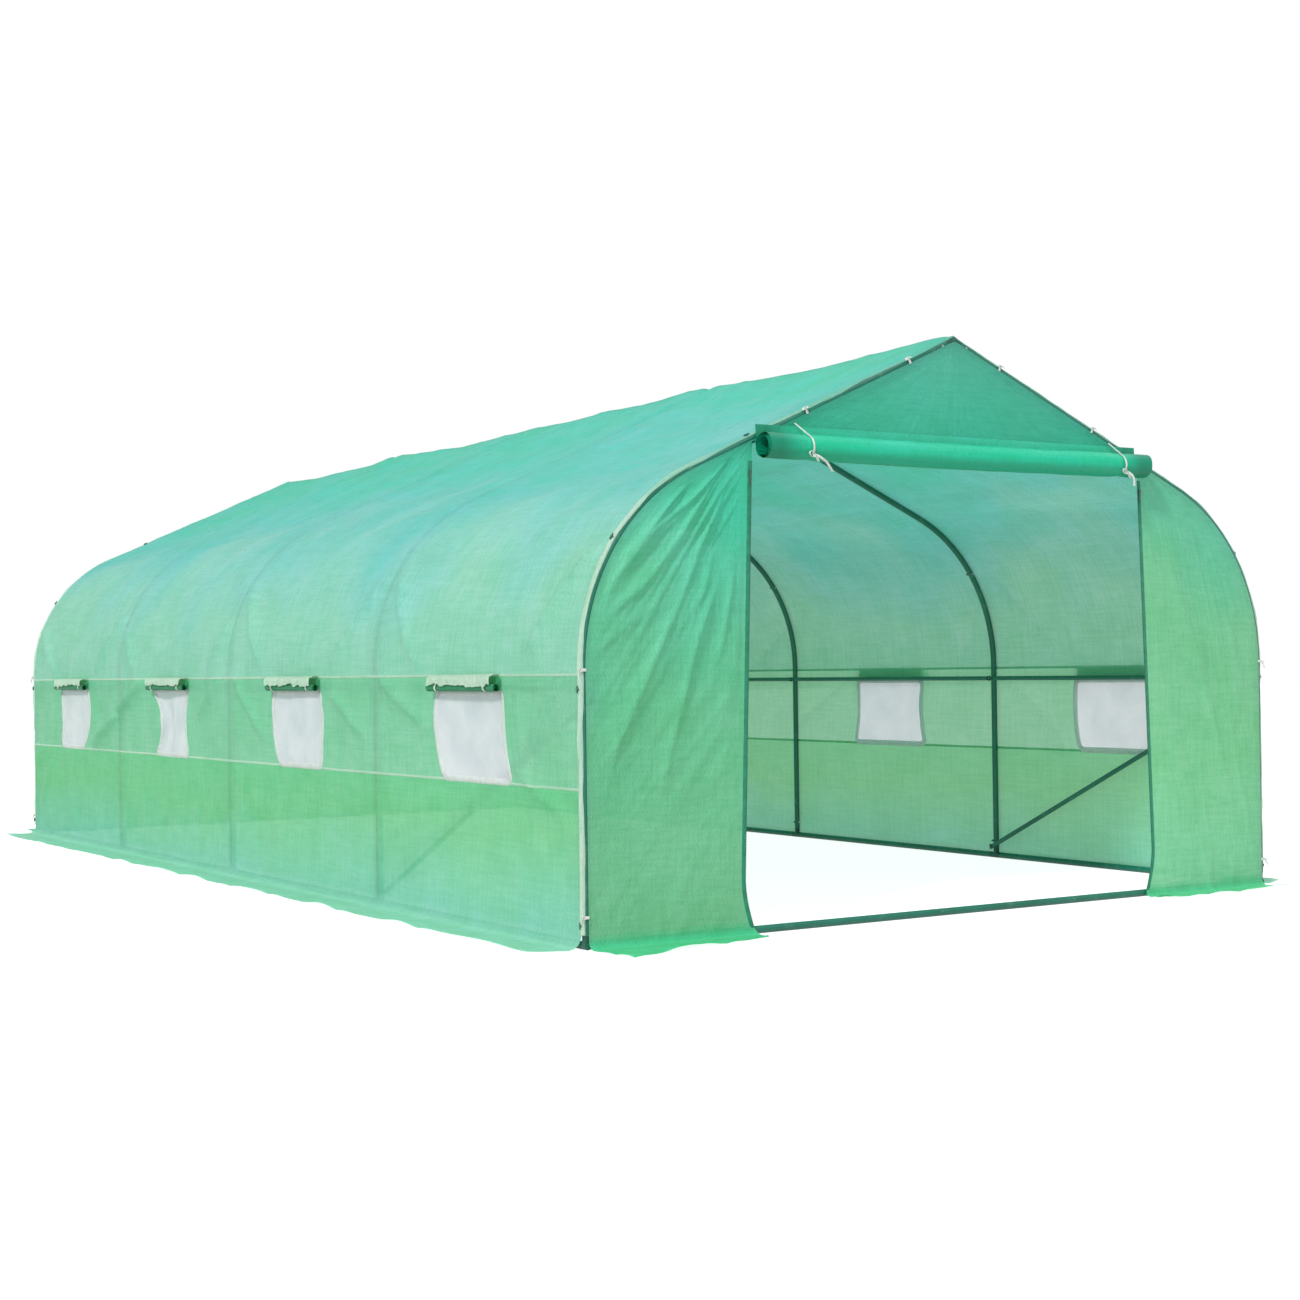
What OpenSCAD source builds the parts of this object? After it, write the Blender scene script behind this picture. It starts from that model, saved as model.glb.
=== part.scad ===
// Walk-in tunnel greenhouse. Bent steel tube hoops stand on base rails and carry a sewn
// cover with a roll-up door, eight roll-up window flaps and skirts that lie on the ground.
// X runs across the tunnel, Y along it with the door at -Y, and Z up from the ground.

/* [Frame] */
// Width between the centres of the hoop legs
frame_w = 3000; // [2800:50:3200]
// Spacing of the hoops along the tunnel
bay_l = 1500; // [1400:50:1600]
// Height of the hoop tube's centre at the ridge
ridge_z = 1984; // [1960:2:2060]
// Radius of the hoop's bend, to the tube's centre
bend_r = 700; // [660:10:720]
// Slope of the roof
roof_slope = 24; // [22:1:26]
// Height of the side purlins
purlin_z = 800; // [790:5:810]
// Height of the tube over the door
header_z = 1590; // [1580:5:1600]

/* [Tubes] */
// Outside diameter of the hoops and base rails
hoop_d = 25; // [24:0.5:26]
// Outside diameter of the purlins, header and braces
purlin_d = 19; // [18:0.5:20]
// Wall of every tube
tube_wall = 0.7; // [0.6:0.1:1]

/* [Cover] */
// Thickness of the cloth
cloth_t = 1; // [0.8:0.1:1.2]
// Height of the seam between the lower wall and the window band
low_seam_z = 490; // [480:5:495]
// Height of the seam between the window band and the roof
high_seam_z = 845; // [840:5:850]
// Width of the side skirts on the ground
side_skirt = 180; // [120:10:220]
// Reach of the front left and rear skirts on the ground
end_skirt = 250; // [180:10:260]

/* [Windows] */
// Length of each window opening along the wall
window_l = 470; // [400:10:500]
// Height of each window opening
window_h = 285; // [260:5:290]
// Width of the white border round each window
border_w = 20; // [14:1:24]
// Diameter of a rolled window flap
flap_roll_d = 28; // [24:1:30]

/* [Door] */
// Half the width of the doorway at the header
door_half_top = 862; // [858:1:866]
// Half the width of the doorway at its widest
door_half_low = 911; // [900:1:920]
// Half the width of the doorway at the ground
door_half_foot = 872; // [868:1:880]
// Diameter of the rolled door
door_roll_d = 86; // [80:1:90]
// Length of the rolled door
door_roll_l = 1700; // [1600:10:1704]

/* [Hidden] */
$fn = 48;
eps = 0.5;
bays = 4;
half_w = frame_w / 2;
half_l = bays * bay_l / 2;
bend_angle = 90 - roof_slope;
bend_x = half_w - bend_r;
tangent_x = bend_x + bend_r * cos(bend_angle);
rafter_l = tangent_x / cos(roof_slope);
leg_h = ridge_z - tan(roof_slope) * tangent_x - bend_r * sin(bend_angle);
outline_steps = 22;
tail_sides = 8;

hoop_r = hoop_d / 2;
hoop_bore_r = hoop_r - tube_wall;
purlin_r = purlin_d / 2;
purlin_bore_r = purlin_r - tube_wall;
fit_gap = 0.2;
spigot_r = hoop_bore_r - fit_gap;
spigot_bore_r = spigot_r - tube_wall;

// Each hoop side is a leg tube and a rafter tube, sleeved together half way round the bend.
joint_angle = bend_angle / 2;
spigot_angle = 4.5;
joint_bolt_angle = joint_angle + 2;
neck_angle = 2;
arm_l = 32;
spigot_l = 50;
arm_r = hoop_r - 0.3;
foot_top = hoop_r + arm_l;
ridge_gap = 34;

// Bolts: M6, with clearance holes in the tubes.
bolt_r = 3;
bolt_hole_r = 3.3;
head_r = 5;
head_h = 4;
low_head_h = 1.2;
bolt_in = 17;
knob_out = 21;
flush_out = hoop_r - 0.1;
purlin_bolt_in = 32;
brace_bolt_in = 40;
cross_reach = 23;
foot_bolt_z = 75;
ridge_bolt_l = 58;
wing_h = 7;
wing_hub_r = 5.5;
wing_span = 11;

brace_top_z = 760;
brace_low_z = 52;
inner_face = half_w - hoop_r;
brace_x = inner_face - purlin_r - fit_gap;
brace_tilt = atan((brace_top_z - brace_low_z) / bay_l);
brace_l = bay_l / cos(brace_tilt);
brace_over = 9;
tongue_t = 2;
tongue_h = 18;
purlin_end = 24;
ridge_purlin_z = ridge_z - 10;
ridge_plug_l = 60;

// The header runs between the rafters. Its flattened tongues lap on their undersides.
header_meet_x = (ridge_z - header_z) / tan(roof_slope);
header_half = header_meet_x - (purlin_r + (hoop_r + fit_gap) / cos(roof_slope)) / tan(roof_slope) - eps;
header_top_s = header_half * cos(roof_slope) + (ridge_z - header_z - purlin_r) * sin(roof_slope);
header_bolt_s = header_top_s + 32;
header_tongue = [header_top_s - 10, header_top_s + 44];

// The cover lies just outside the tubes. Its end panels lie in front of the end hoops.
cover_in = hoop_r + 0.5;
cover_out = cover_in + cloth_t;
wall_in = half_w + cover_in;
wall_out = half_w + cover_out;
cover_half_l = half_l - 4;
end_in = half_l + hoop_r + 1.5;
end_out = end_in + cloth_t;
panel_inset = -2;
gable_z = 1600;
door_bend_z = 180;

// Corners of the front skirts: [x, distance in front of the end panels]
left_skirt = [[-door_half_foot - 8, 86], [-half_w + 320, 160], [-half_w + 20, end_skirt]];
right_skirt = [[half_w + 64, 110], [door_half_foot + 12, 92]];

window_z = low_seam_z + 10;
border_t = 1.2;
border_in = 6;
flap_roll_r = flap_roll_d / 2;
flap_gap = 7;
flap_x = wall_out + border_t + flap_gap + flap_roll_r;
flap_hem_x = wall_out + border_t + 0.4;
flap_z = high_seam_z - 39;
flap_l = 500;
flap_tie_y = 180;
flap_tie_w = 12;

roll_r = door_roll_d / 2;
roll_core_r = roll_r - 9;
roll_z = 1578;
roll_y = -end_out - 6 - roll_r;
curtain_top_z = 1650;
zip_w = 16;
zip_t = 1.2;
zip_top_z = 1530;
slider_z = 1490;

// The ties over the rolled door, and the points that their free tails follow.
tie_r = 3;
tie_arc_r = roll_r + tie_r + 0.5;
tie_top = [42, 82];
tie_lead = atan2(tie_top.y, tie_top.x) + acos(tie_arc_r / norm(tie_top));
tie_end = 215;
tie_left_x = -680;
tie_right_x = 720;
knot_r = 7;
tail_r = 3;
tail_left = [
    [-674, -3108, 1549], [-664, -3113, 1543], [-653, -3116, 1536], [-642, -3116, 1529],
    [-632, -3114, 1521], [-623, -3112, 1512], [-615, -3110, 1504], [-609, -3109, 1497]
];
tail_right = [
    [726, -3108, 1549], [735, -3113, 1542], [743, -3115, 1533], [749, -3114, 1522],
    [752, -3112, 1510], [753, -3110, 1499]
];
cover_tie_spots = [for (s = [220, 700]) [s * cos(roof_slope), ridge_z - s * sin(roof_slope), bend_angle]];
leg_tie_spots = [for (z = [100, 860]) [half_w, z, 0]];

steel = [0.02, 0.30, 0.24];
fitting = [0.03, 0.22, 0.18];
zinc = [0.62, 0.65, 0.66];
roof_green = [0.45, 0.84, 0.74];
band_green = [0.34, 0.80, 0.56];
wall_green = [0.50, 0.86, 0.65];
panel_green = [0.30, 0.72, 0.55];
roll_green = [0.02, 0.62, 0.44];
tape_green = [0.05, 0.45, 0.33];
mesh_grey = [0.84, 0.84, 0.87];
white = [0.93, 0.96, 0.94];

// ---- Places ----

function hoop_y(k) = -half_l + k * bay_l;
function bay_y(k) = hoop_y(k) + bay_l / 2;
function is_end(k) = k == 0 || k == bays;
function arc_point(angle) = [bend_x + bend_r * cos(angle), leg_h + bend_r * sin(angle)];
function rafter_point(s) = [s * cos(roof_slope), ridge_z - s * sin(roof_slope)];

// Right half of the hoop's outline, grown outward by d, from height base to the ridge
function half_outline(d, base) = concat(
    [[half_w + d, base]],
    [for (i = [0:outline_steps])
        let (a = bend_angle * i / outline_steps)
        [bend_x + (bend_r + d) * cos(a), leg_h + (bend_r + d) * sin(a)]],
    [[0, ridge_z + d / cos(roof_slope)]]
);

function mirrored(point) = [-point.x, point.y];

// Bolts across a hoop tube in the hoop's plane: [x, z, tilt, reach inward, reach outward, knob outside]
function radial_bolts(k) = let (
    joint = arc_point(joint_bolt_angle),
    header = rafter_point(header_bolt_s)
) concat(
    is_end(k) ? [
        [header.x, header.y, bend_angle, bolt_in, knob_out, true],
        [joint.x, joint.y, joint_bolt_angle, bolt_in, knob_out, true],
        [half_w, foot_bolt_z, 0, bolt_in, knob_out, true],
        [half_w, purlin_z, 0, purlin_bolt_in, knob_out, true]
    ] : [
        [half_w, purlin_z, 0, purlin_bolt_in, flush_out, false]
    ],
    k == 0 ? [[half_w, brace_top_z, 0, brace_bolt_in, flush_out, false]] : [],
    k == 1 ? [[half_w, brace_low_z, 0, brace_bolt_in, flush_out, false]] : []
);

// Bolts along Y: [x, z]
function cross_bolts(k) = concat(
    [rafter_point(ridge_bolt_l)],
    is_end(k) ? [] : [arc_point(joint_bolt_angle), [half_w, foot_bolt_z]]
);

module both_sides() {
    children();
    mirror([1, 0, 0]) children();
}

// Bolt axis of a radial bolt along +Z, pointing outward
module at_radial(b, y) {
    translate([b[0], y, b[1]]) rotate([0, 90 - b[2], 0]) children();
}

// Bolt axis of a cross bolt along +Z, pointing into the tunnel
module at_cross(b, k) {
    translate([b[0], hoop_y(k), b[1]]) rotate([k == bays ? 90 : -90, 0, 0]) children();
}

module bolt_holes(k) {
    for (b = radial_bolts(k)) {
        at_radial(b, hoop_y(k)) translate([0, 0, -b[3]]) cylinder(r = bolt_hole_r, h = b[3] + b[4] + eps);
    }
    for (b = cross_bolts(k)) {
        at_cross(b, k) cylinder(r = bolt_hole_r, h = 2 * cross_reach, center = true);
    }
}

// ---- Tubes ----

// A straight tube up from one height to another, then part of the hoop's bend
module bent_rod(r, from, to, angle) {
    translate([0, 0, from]) cylinder(r = r, h = to - from);
    bend(r, to, 0, angle);
}

module bend(r, height, from, to) {
    translate([-bend_r, 0, height]) rotate([90, 0, 0]) rotate([0, 0, from])
        rotate_extrude(angle = to - from) translate([bend_r, 0]) circle(r);
}

module leg() {
    neck = joint_angle - neck_angle;
    translate([half_w, 0, 0]) difference() {
        union() {
            bent_rod(hoop_r, foot_top, leg_h, joint_angle);
            bend(spigot_r, leg_h, joint_angle, joint_angle + spigot_angle);
        }
        bent_rod(hoop_bore_r, foot_top - eps, leg_h, neck);
        bend(spigot_bore_r, leg_h, neck, joint_angle + spigot_angle + neck_angle);
    }
}

// From the ridge along +Z, down the slope of the roof
module down_the_roof() {
    translate([0, 0, ridge_z]) rotate([0, 90 + roof_slope, 0]) children();
}

module rafter() {
    down_the_roof() mirror([1, 0, 0]) difference() {
        bent_rod(hoop_r, ridge_gap, rafter_l, joint_angle);
        bent_rod(hoop_bore_r, ridge_gap - eps, rafter_l, joint_angle + eps);
    }
}

module hoop_legs(k) {
    color(steel) both_sides() difference() {
        translate([0, hoop_y(k), 0]) leg();
        bolt_holes(k);
    }
}

module hoop_rafters(k) {
    color(steel) both_sides() difference() {
        translate([0, hoop_y(k), 0]) rafter();
        bolt_holes(k);
    }
}

module tube(r, h) {
    difference() {
        cylinder(r = r, h = h);
        translate([0, 0, -eps]) cylinder(r = r - tube_wall, h = h + 2 * eps);
    }
}

// ---- Moulded connectors ----

// An arm with a thinner spigot that slides into a tube
module arm(body_r, body_l, plug_r, plug_l) {
    cylinder(r = body_r, h = body_l);
    cylinder(r = plug_r, h = body_l + plug_l);
}

module foot_connector(k) {
    inward = k == 0 ? -90 : 90;
    difference() {
        translate([half_w, hoop_y(k), hoop_r]) union() {
            arm(arm_r, arm_l, spigot_r, spigot_l);
            if (is_end(k)) {
                rotate([inward, 0, 0]) translate([0, 0, -hoop_r])
                    arm(hoop_r, arm_l + hoop_r, spigot_r, spigot_l);
                rotate([0, -90, 0]) arm(arm_r, arm_l, spigot_r, spigot_l);
            } else {
                rotate([90, 0, 0]) arm(hoop_r, arm_l, spigot_r, spigot_l);
                rotate([-90, 0, 0]) arm(hoop_r, arm_l, spigot_r, spigot_l);
            }
        }
        bolt_holes(k);
    }
}

module foot_connectors() {
    color(fitting) both_sides() for (k = [0:bays]) foot_connector(k);
}

module ridge_connectors() {
    purlin_plug = purlin_bore_r - fit_gap;
    hub_l = 2 * hoop_r;
    color(fitting) for (k = [0:bays]) {
        difference() {
            translate([0, hoop_y(k), 0]) union() {
                translate([0, 0, ridge_z]) rotate([90, 0, 0]) cylinder(r = hoop_r, h = hub_l, center = true);
                both_sides() down_the_roof() arm(arm_r, ridge_gap, spigot_r, spigot_l);
                for (tilt = concat(k < bays ? [-90] : [], k > 0 ? [90] : [])) {
                    translate([0, 0, ridge_purlin_z]) rotate([tilt, 0, 0])
                        cylinder(r = purlin_plug, h = ridge_plug_l);
                }
            }
            both_sides() bolt_holes(k);
        }
    }
}

// ---- Rails, purlins and braces ----

module ridge_purlins() {
    start = hoop_r + 1;
    color(steel) for (k = [0:bays - 1]) {
        translate([0, hoop_y(k) + start, ridge_purlin_z]) rotate([-90, 0, 0])
            tube(purlin_r, bay_l - 2 * start);
    }
}

// One purlin between two hoops. Its flattened tongues lap on the inside of the legs.
module side_purlin(k) {
    tongue_y = purlin_end + hoop_r;
    difference() {
        translate([inner_face, 0, purlin_z]) {
            translate([0, hoop_y(k) + purlin_end, 0]) rotate([-90, 0, 0])
                tube(purlin_r, bay_l - 2 * purlin_end);
            translate([-tongue_t - fit_gap, hoop_y(k) - hoop_r, -tongue_h / 2])
                cube([tongue_t, tongue_y + 4, tongue_h]);
            translate([-2 * tongue_t - 2 * fit_gap, hoop_y(k + 1) - purlin_end - 4, -tongue_h / 2])
                cube([tongue_t, tongue_y + 4, tongue_h]);
        }
        bolt_holes(k);
        bolt_holes(k + 1);
    }
}

module right_side_purlins() {
    color(steel) for (k = [0:bays - 1]) side_purlin(k);
}

module left_side_purlins() {
    color(steel) mirror([1, 0, 0]) for (k = [0:bays - 1]) side_purlin(k);
}

module base_rail(k) {
    translate([half_w, hoop_y(k) + arm_l, hoop_r]) rotate([-90, 0, 0]) tube(hoop_r, bay_l - 2 * arm_l);
}

module right_base_rails() {
    color(steel) for (k = [0:bays - 1]) base_rail(k);
}

module left_base_rails() {
    color(steel) mirror([1, 0, 0]) for (k = [0:bays - 1]) base_rail(k);
}

module end_base_rails() {
    rail_l = frame_w - 2 * arm_l;
    color(steel) for (k = [0, bays]) {
        translate([-rail_l / 2, hoop_y(k), hoop_r]) rotate([0, 90, 0]) tube(hoop_r, rail_l);
    }
}

module door_headers() {
    tongue_l = header_tongue[1] - header_tongue[0];
    color(steel) for (k = [0, bays]) {
        difference() {
            translate([0, hoop_y(k), 0]) union() {
                translate([-header_half, 0, header_z]) rotate([0, 90, 0]) tube(purlin_r, 2 * header_half);
                both_sides() down_the_roof() translate([hoop_r + fit_gap, -tongue_h / 2, header_tongue[0]])
                    cube([tongue_t, tongue_h, tongue_l]);
            }
            both_sides() bolt_holes(k);
        }
    }
}

module diagonal_braces() {
    color(steel) both_sides() difference() {
        translate([brace_x, hoop_y(1), brace_low_z]) rotate([90 - brace_tilt, 0, 0])
            translate([0, 0, -brace_over]) tube(purlin_r, brace_l + 2 * brace_over);
        bolt_holes(0);
        bolt_holes(1);
    }
}

// ---- Fasteners ----

// A bolt's shank between two heights, with a head of the given height under it
module shank(from, to, head) {
    translate([0, 0, from]) cylinder(r = bolt_r, h = to - from);
    if (head > 0) translate([0, 0, from - head]) cylinder(r = head_r, h = head);
}

module wing_nut() {
    difference() {
        union() {
            cylinder(r = wing_hub_r, h = wing_h);
            translate([-wing_span, -1.5, 1]) cube([2 * wing_span, 3, wing_h - 1]);
        }
        translate([0, 0, -eps]) cylinder(r = bolt_r + 0.05, h = wing_h + 2 * eps);
    }
}

module frame_bolts() {
    color(zinc) both_sides() for (k = [0:bays]) {
        for (b = radial_bolts(k)) at_radial(b, hoop_y(k)) shank(-b[3], b[4], b[5] ? head_h : 0);
        for (b = cross_bolts(k)) at_cross(b, k) {
            if (is_end(k)) shank(-hoop_r - 0.1, cross_reach, low_head_h);
            else shank(-hoop_r - 1, cross_reach, head_h);
        }
    }
}

// A knob outside the end hoops, and a nut inside the tunnel elsewhere
module wing_nuts() {
    knob_z = knob_out - wing_h + 1;
    color(fitting) both_sides() for (k = [0:bays]) {
        for (b = radial_bolts(k)) {
            at_radial(b, hoop_y(k)) translate([0, 0, b[5] ? knob_z : 1 - b[3]]) wing_nut();
        }
        for (b = cross_bolts(k)) {
            at_cross(b, k) translate([0, 0, cross_reach - wing_h - 1]) wing_nut();
        }
    }
}

// ---- Cover ----

module side_sheet(from, to) {
    translate([wall_in, -cover_half_l, from]) cube([cloth_t, 2 * cover_half_l, to - from]);
}

module roof_cover() {
    inner = half_outline(cover_in, high_seam_z);
    outer = half_outline(cover_out, high_seam_z);
    last = len(inner) - 1;
    color(roof_green) translate([0, cover_half_l, 0]) rotate([90, 0, 0]) linear_extrude(2 * cover_half_l)
        polygon(concat(
            outer,
            [for (i = [last - 1:-1:0]) mirrored(outer[i])],
            [for (i = [0:last]) mirrored(inner[i])],
            [for (i = [last - 1:-1:0]) inner[i]]
        ));
}

module window_band() {
    difference() {
        side_sheet(low_seam_z, high_seam_z);
        for (k = [0:bays - 1]) {
            translate([wall_in - eps, bay_y(k) - window_l / 2, window_z])
                cube([cloth_t + 2 * eps, window_l, window_h]);
        }
    }
}

module right_window_band() {
    color(band_green) window_band();
}

module left_window_band() {
    color(band_green) mirror([1, 0, 0]) window_band();
}

module lower_wall() {
    side_sheet(0, low_seam_z);
    translate([wall_in, -cover_half_l, 0]) cube([side_skirt, 2 * cover_half_l, cloth_t]);
}

module right_lower_wall() {
    color(wall_green) lower_wall();
}

module left_lower_wall() {
    color(wall_green) mirror([1, 0, 0]) lower_wall();
}

module window_screens() {
    for (k = [0:bays - 1]) {
        translate([wall_in, bay_y(k) - window_l / 2, window_z]) cube([cloth_t, window_l, window_h]);
    }
}

module right_window_screens() {
    color(mesh_grey) window_screens();
}

module left_window_screens() {
    color(mesh_grey) mirror([1, 0, 0]) window_screens();
}

module window_borders() {
    rim = border_w - border_in;
    for (k = [0:bays - 1]) translate([wall_out, bay_y(k), window_z]) {
        difference() {
            translate([0, -window_l / 2 - rim, -rim])
                cube([border_t, window_l + 2 * rim, window_h + 2 * rim]);
            translate([-eps, -window_l / 2 + border_in, border_in])
                cube([border_t + 2 * eps, window_l - 2 * border_in, window_h - 2 * border_in]);
        }
    }
}

module right_window_borders() {
    color(white) window_borders();
}

module left_window_borders() {
    color(white) mirror([1, 0, 0]) window_borders();
}

// ---- End panels ----

// A flat panel in the plane of the front end, from a 2D shape in X and Z
module end_panel() {
    translate([0, -end_in, 0]) rotate([90, 0, 0]) linear_extrude(cloth_t) children();
}

module end_outline() {
    right = half_outline(panel_inset, 0);
    polygon(concat(right, [for (i = [len(right) - 2:-1:0]) mirrored(right[i])]));
}

module gable() {
    end_panel() intersection() {
        end_outline();
        translate([-half_w, gable_z]) square([frame_w, ridge_z]);
    }
}

module front_gable() {
    color(panel_green) gable();
}

module rear_gable() {
    color(panel_green) mirror([0, 1, 0]) gable();
}

module door_side() {
    end_panel() intersection() {
        end_outline();
        polygon([
            [door_half_foot, 0], [door_half_low, door_bend_z], [door_half_top, gable_z],
            [frame_w, gable_z], [frame_w, 0]
        ]);
    }
}

// A skirt lying in front of the end panels. Its corners are [x, distance in front of them].
module end_skirt_sheet(corners) {
    linear_extrude(cloth_t) polygon([for (c = corners) [c.x, -end_in - c.y]]);
}

module front_right_panel() {
    color(panel_green) {
        door_side();
        end_skirt_sheet([[door_half_foot, 0], [half_w + panel_inset, 0], each right_skirt]);
    }
}

module front_left_panel() {
    color(panel_green) {
        mirror([1, 0, 0]) door_side();
        end_skirt_sheet([[-door_half_foot, 0], each left_skirt, [-half_w - panel_inset, 0]]);
    }
}

module rear_wall() {
    color(panel_green) {
        mirror([0, 1, 0]) end_panel() intersection() {
            end_outline();
            translate([-half_w, 0]) square([frame_w, gable_z]);
        }
        translate([-half_w - panel_inset, end_in, 0]) cube([frame_w + 2 * panel_inset, end_skirt, cloth_t]);
    }
}

// ---- Door ----

// Zip tapes sewn along both edges of the doorway
module door_zips() {
    top_x = zip_edge(zip_top_z);
    color(tape_green) both_sides() translate([0, -end_out, 0]) rotate([90, 0, 0]) linear_extrude(zip_t)
        polygon([
            [door_half_foot, cloth_t], [door_half_low, door_bend_z], [top_x, zip_top_z],
            [top_x + zip_w, zip_top_z], [door_half_low + zip_w, door_bend_z],
            [door_half_foot + zip_w, cloth_t]
        ]);
}

// Half the doorway's width at height z, above its widest place
function zip_edge(z) = let (share = (z - door_bend_z) / (gable_z - door_bend_z))
    door_half_low + (door_half_top - door_half_low) * share;

module zip_slider() {
    translate([zip_edge(slider_z) + zip_w / 2, -end_out - zip_t - 0.5, slider_z]) {
        translate([-5, -4, -8]) cube([10, 4, 16]);
        difference() {
            translate([-4, -2.5, -40]) cube([8, 1.5, 34]);
            translate([0, 0, -34]) rotate([90, 0, 0]) cylinder(r = 2, h = 8, center = true);
        }
    }
}

module zip_slider_right() {
    color(zinc) zip_slider();
}

module zip_slider_left() {
    color(zinc) mirror([1, 0, 0]) zip_slider();
}

// The door rolled up under the gable, with the strip that it still hangs from
module door_curtain() {
    back = roll_r;
    lean = 5;
    color(roll_green) translate([-door_roll_l / 2, roll_y, roll_z]) rotate([90, 0, 90]) difference() {
        union() {
            cylinder(r = roll_r, h = door_roll_l);
            linear_extrude(door_roll_l) polygon([
                [back - cloth_t, 0], [back, 0], [back + lean, curtain_top_z - roll_z],
                [back + lean - cloth_t, curtain_top_z - roll_z]
            ]);
        }
        translate([0, 0, -eps]) cylinder(r = roll_core_r, h = door_roll_l + 2 * eps);
    }
}

// A tie from the gable over the front of the rolled door, knotted under it
module door_tie(x) {
    lead_l = sqrt(pow(norm(tie_top), 2) - pow(tie_arc_r, 2));
    color(white) translate([x, roll_y, roll_z]) rotate([90, 0, 90]) {
        rotate([0, 0, tie_lead]) {
            rotate_extrude(angle = tie_end - tie_lead) translate([tie_arc_r, 0]) circle(tie_r);
            translate([tie_arc_r, 0, 0]) rotate([90, 0, 0]) cylinder(r = tie_r, h = lead_l);
        }
        rotate([0, 0, tie_end]) translate([tie_arc_r + knot_r - tie_r, 0, 0]) sphere(knot_r);
    }
}

module door_tie_left() {
    door_tie(tie_left_x);
}

module door_tie_right() {
    door_tie(tie_right_x);
}

// ---- Free tails of the door ties ----

function tangent_at(route, i) = let (
    a = route[max(i - 1, 0)],
    b = route[min(i + 1, len(route) - 1)]
) (b - a) / norm(b - a);

function ring_at(route, i, r) = let (
    along = tangent_at(route, i),
    side = cross(along, [0, 1, 0]) / norm(cross(along, [0, 1, 0])),
    up = cross(side, along)
) [for (j = [0:tail_sides - 1])
    route[i] + r * (cos(360 * j / tail_sides) * side + sin(360 * j / tail_sides) * up)];

module swept_tail(route) {
    rings = len(route);
    points = [for (i = [0:rings - 1]) each ring_at(route, i, tail_r)];
    walls = [for (i = [0:rings - 2], j = [0:tail_sides - 1])
        let (a = i * tail_sides + j, b = i * tail_sides + (j + 1) % tail_sides)
        [a, b, b + tail_sides, a + tail_sides]];
    start_cap = [[for (j = [tail_sides - 1:-1:0]) j]];
    end_cap = [[for (j = [0:tail_sides - 1]) (rings - 1) * tail_sides + j]];
    color(white) polyhedron(points = points, faces = concat(walls, start_cap, end_cap));
}

module door_tie_tail_left() {
    swept_tail(tail_left);
}

module door_tie_tail_right() {
    swept_tail(tail_right);
}

// ---- Small ties that hold the cover to the end hoops ----

module cover_tie(spot) {
    inner = end_in - half_l + cloth_t + 0.6;
    translate([spot.x, -half_l, spot.y]) rotate([0, -spot.z, 0]) {
        rotate([0, 0, -105]) rotate_extrude(angle = 125) translate([inner, -5]) square([2, 10]);
        rotate([0, 0, -45]) translate([inner + 4, 0, 0]) sphere(4.5);
    }
}

module cover_ties() {
    color(white) for (spot = concat(cover_tie_spots, leg_tie_spots)) both_sides() {
        cover_tie(spot);
        mirror([0, 1, 0]) cover_tie(spot);
    }
}

// ---- Window flaps ----

// A flap rolled up over a window with its two ties, and the strip that it hangs from
module window_flap(is_left, k) {
    top = high_seam_z - flap_z;
    side = is_left ? 1 : 0;
    color(roll_green) mirror([side, 0, 0]) translate([flap_x, bay_y(k), flap_z]) rotate([90, 0, 0]) {
        cylinder(r = flap_roll_r, h = flap_l, center = true);
        translate([0, 0, -flap_l / 2]) linear_extrude(flap_l) polygon([
            [-flap_roll_r, 0], [-flap_roll_r + cloth_t, 0],
            [flap_hem_x - flap_x + cloth_t, top], [flap_hem_x - flap_x, top]
        ]);
        for (y = [-flap_tie_y, flap_tie_y]) translate([0, 0, y - flap_tie_w / 2]) {
            rotate([0, 0, -150]) rotate_extrude(angle = 270) translate([flap_roll_r + 0.3, 0])
                square([1.5, flap_tie_w]);
        }
    }
}

hoop_legs(0);  // hoop_1_legs
hoop_legs(1);  // hoop_2_legs
hoop_legs(2);  // hoop_3_legs
hoop_legs(3);  // hoop_4_legs
hoop_legs(4);  // hoop_5_legs
hoop_rafters(0);  // hoop_1_rafters
hoop_rafters(1);  // hoop_2_rafters
hoop_rafters(2);  // hoop_3_rafters
hoop_rafters(3);  // hoop_4_rafters
hoop_rafters(4);  // hoop_5_rafters
foot_connectors();
ridge_connectors();
ridge_purlins();
left_side_purlins();
right_side_purlins();
left_base_rails();
right_base_rails();
end_base_rails();
door_headers();
diagonal_braces();
frame_bolts();
wing_nuts();
roof_cover();
left_window_band();
right_window_band();
left_lower_wall();
right_lower_wall();
front_gable();
front_left_panel();
front_right_panel();
rear_gable();
rear_wall();
left_window_screens();
right_window_screens();
left_window_borders();
right_window_borders();
door_zips();
cover_ties();
door_curtain();
door_tie_left();
door_tie_right();
door_tie_tail_left();
door_tie_tail_right();
zip_slider_left();
zip_slider_right();
window_flap(true, 0);  // window_flap_left_1
window_flap(true, 1);  // window_flap_left_2
window_flap(true, 2);  // window_flap_left_3
window_flap(true, 3);  // window_flap_left_4
window_flap(false, 0);  // window_flap_right_1
window_flap(false, 1);  // window_flap_right_2
window_flap(false, 2);  // window_flap_right_3
window_flap(false, 3);  // window_flap_right_4
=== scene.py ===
"""The looks of a walk-in tunnel greenhouse, built round its CAD frame.

Metres. X runs across the tunnel, Y along it with the door at -Y, and Z up from the ground.
"""

import math

import bpy
import numpy as np
from mathutils import Matrix, Vector


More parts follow.
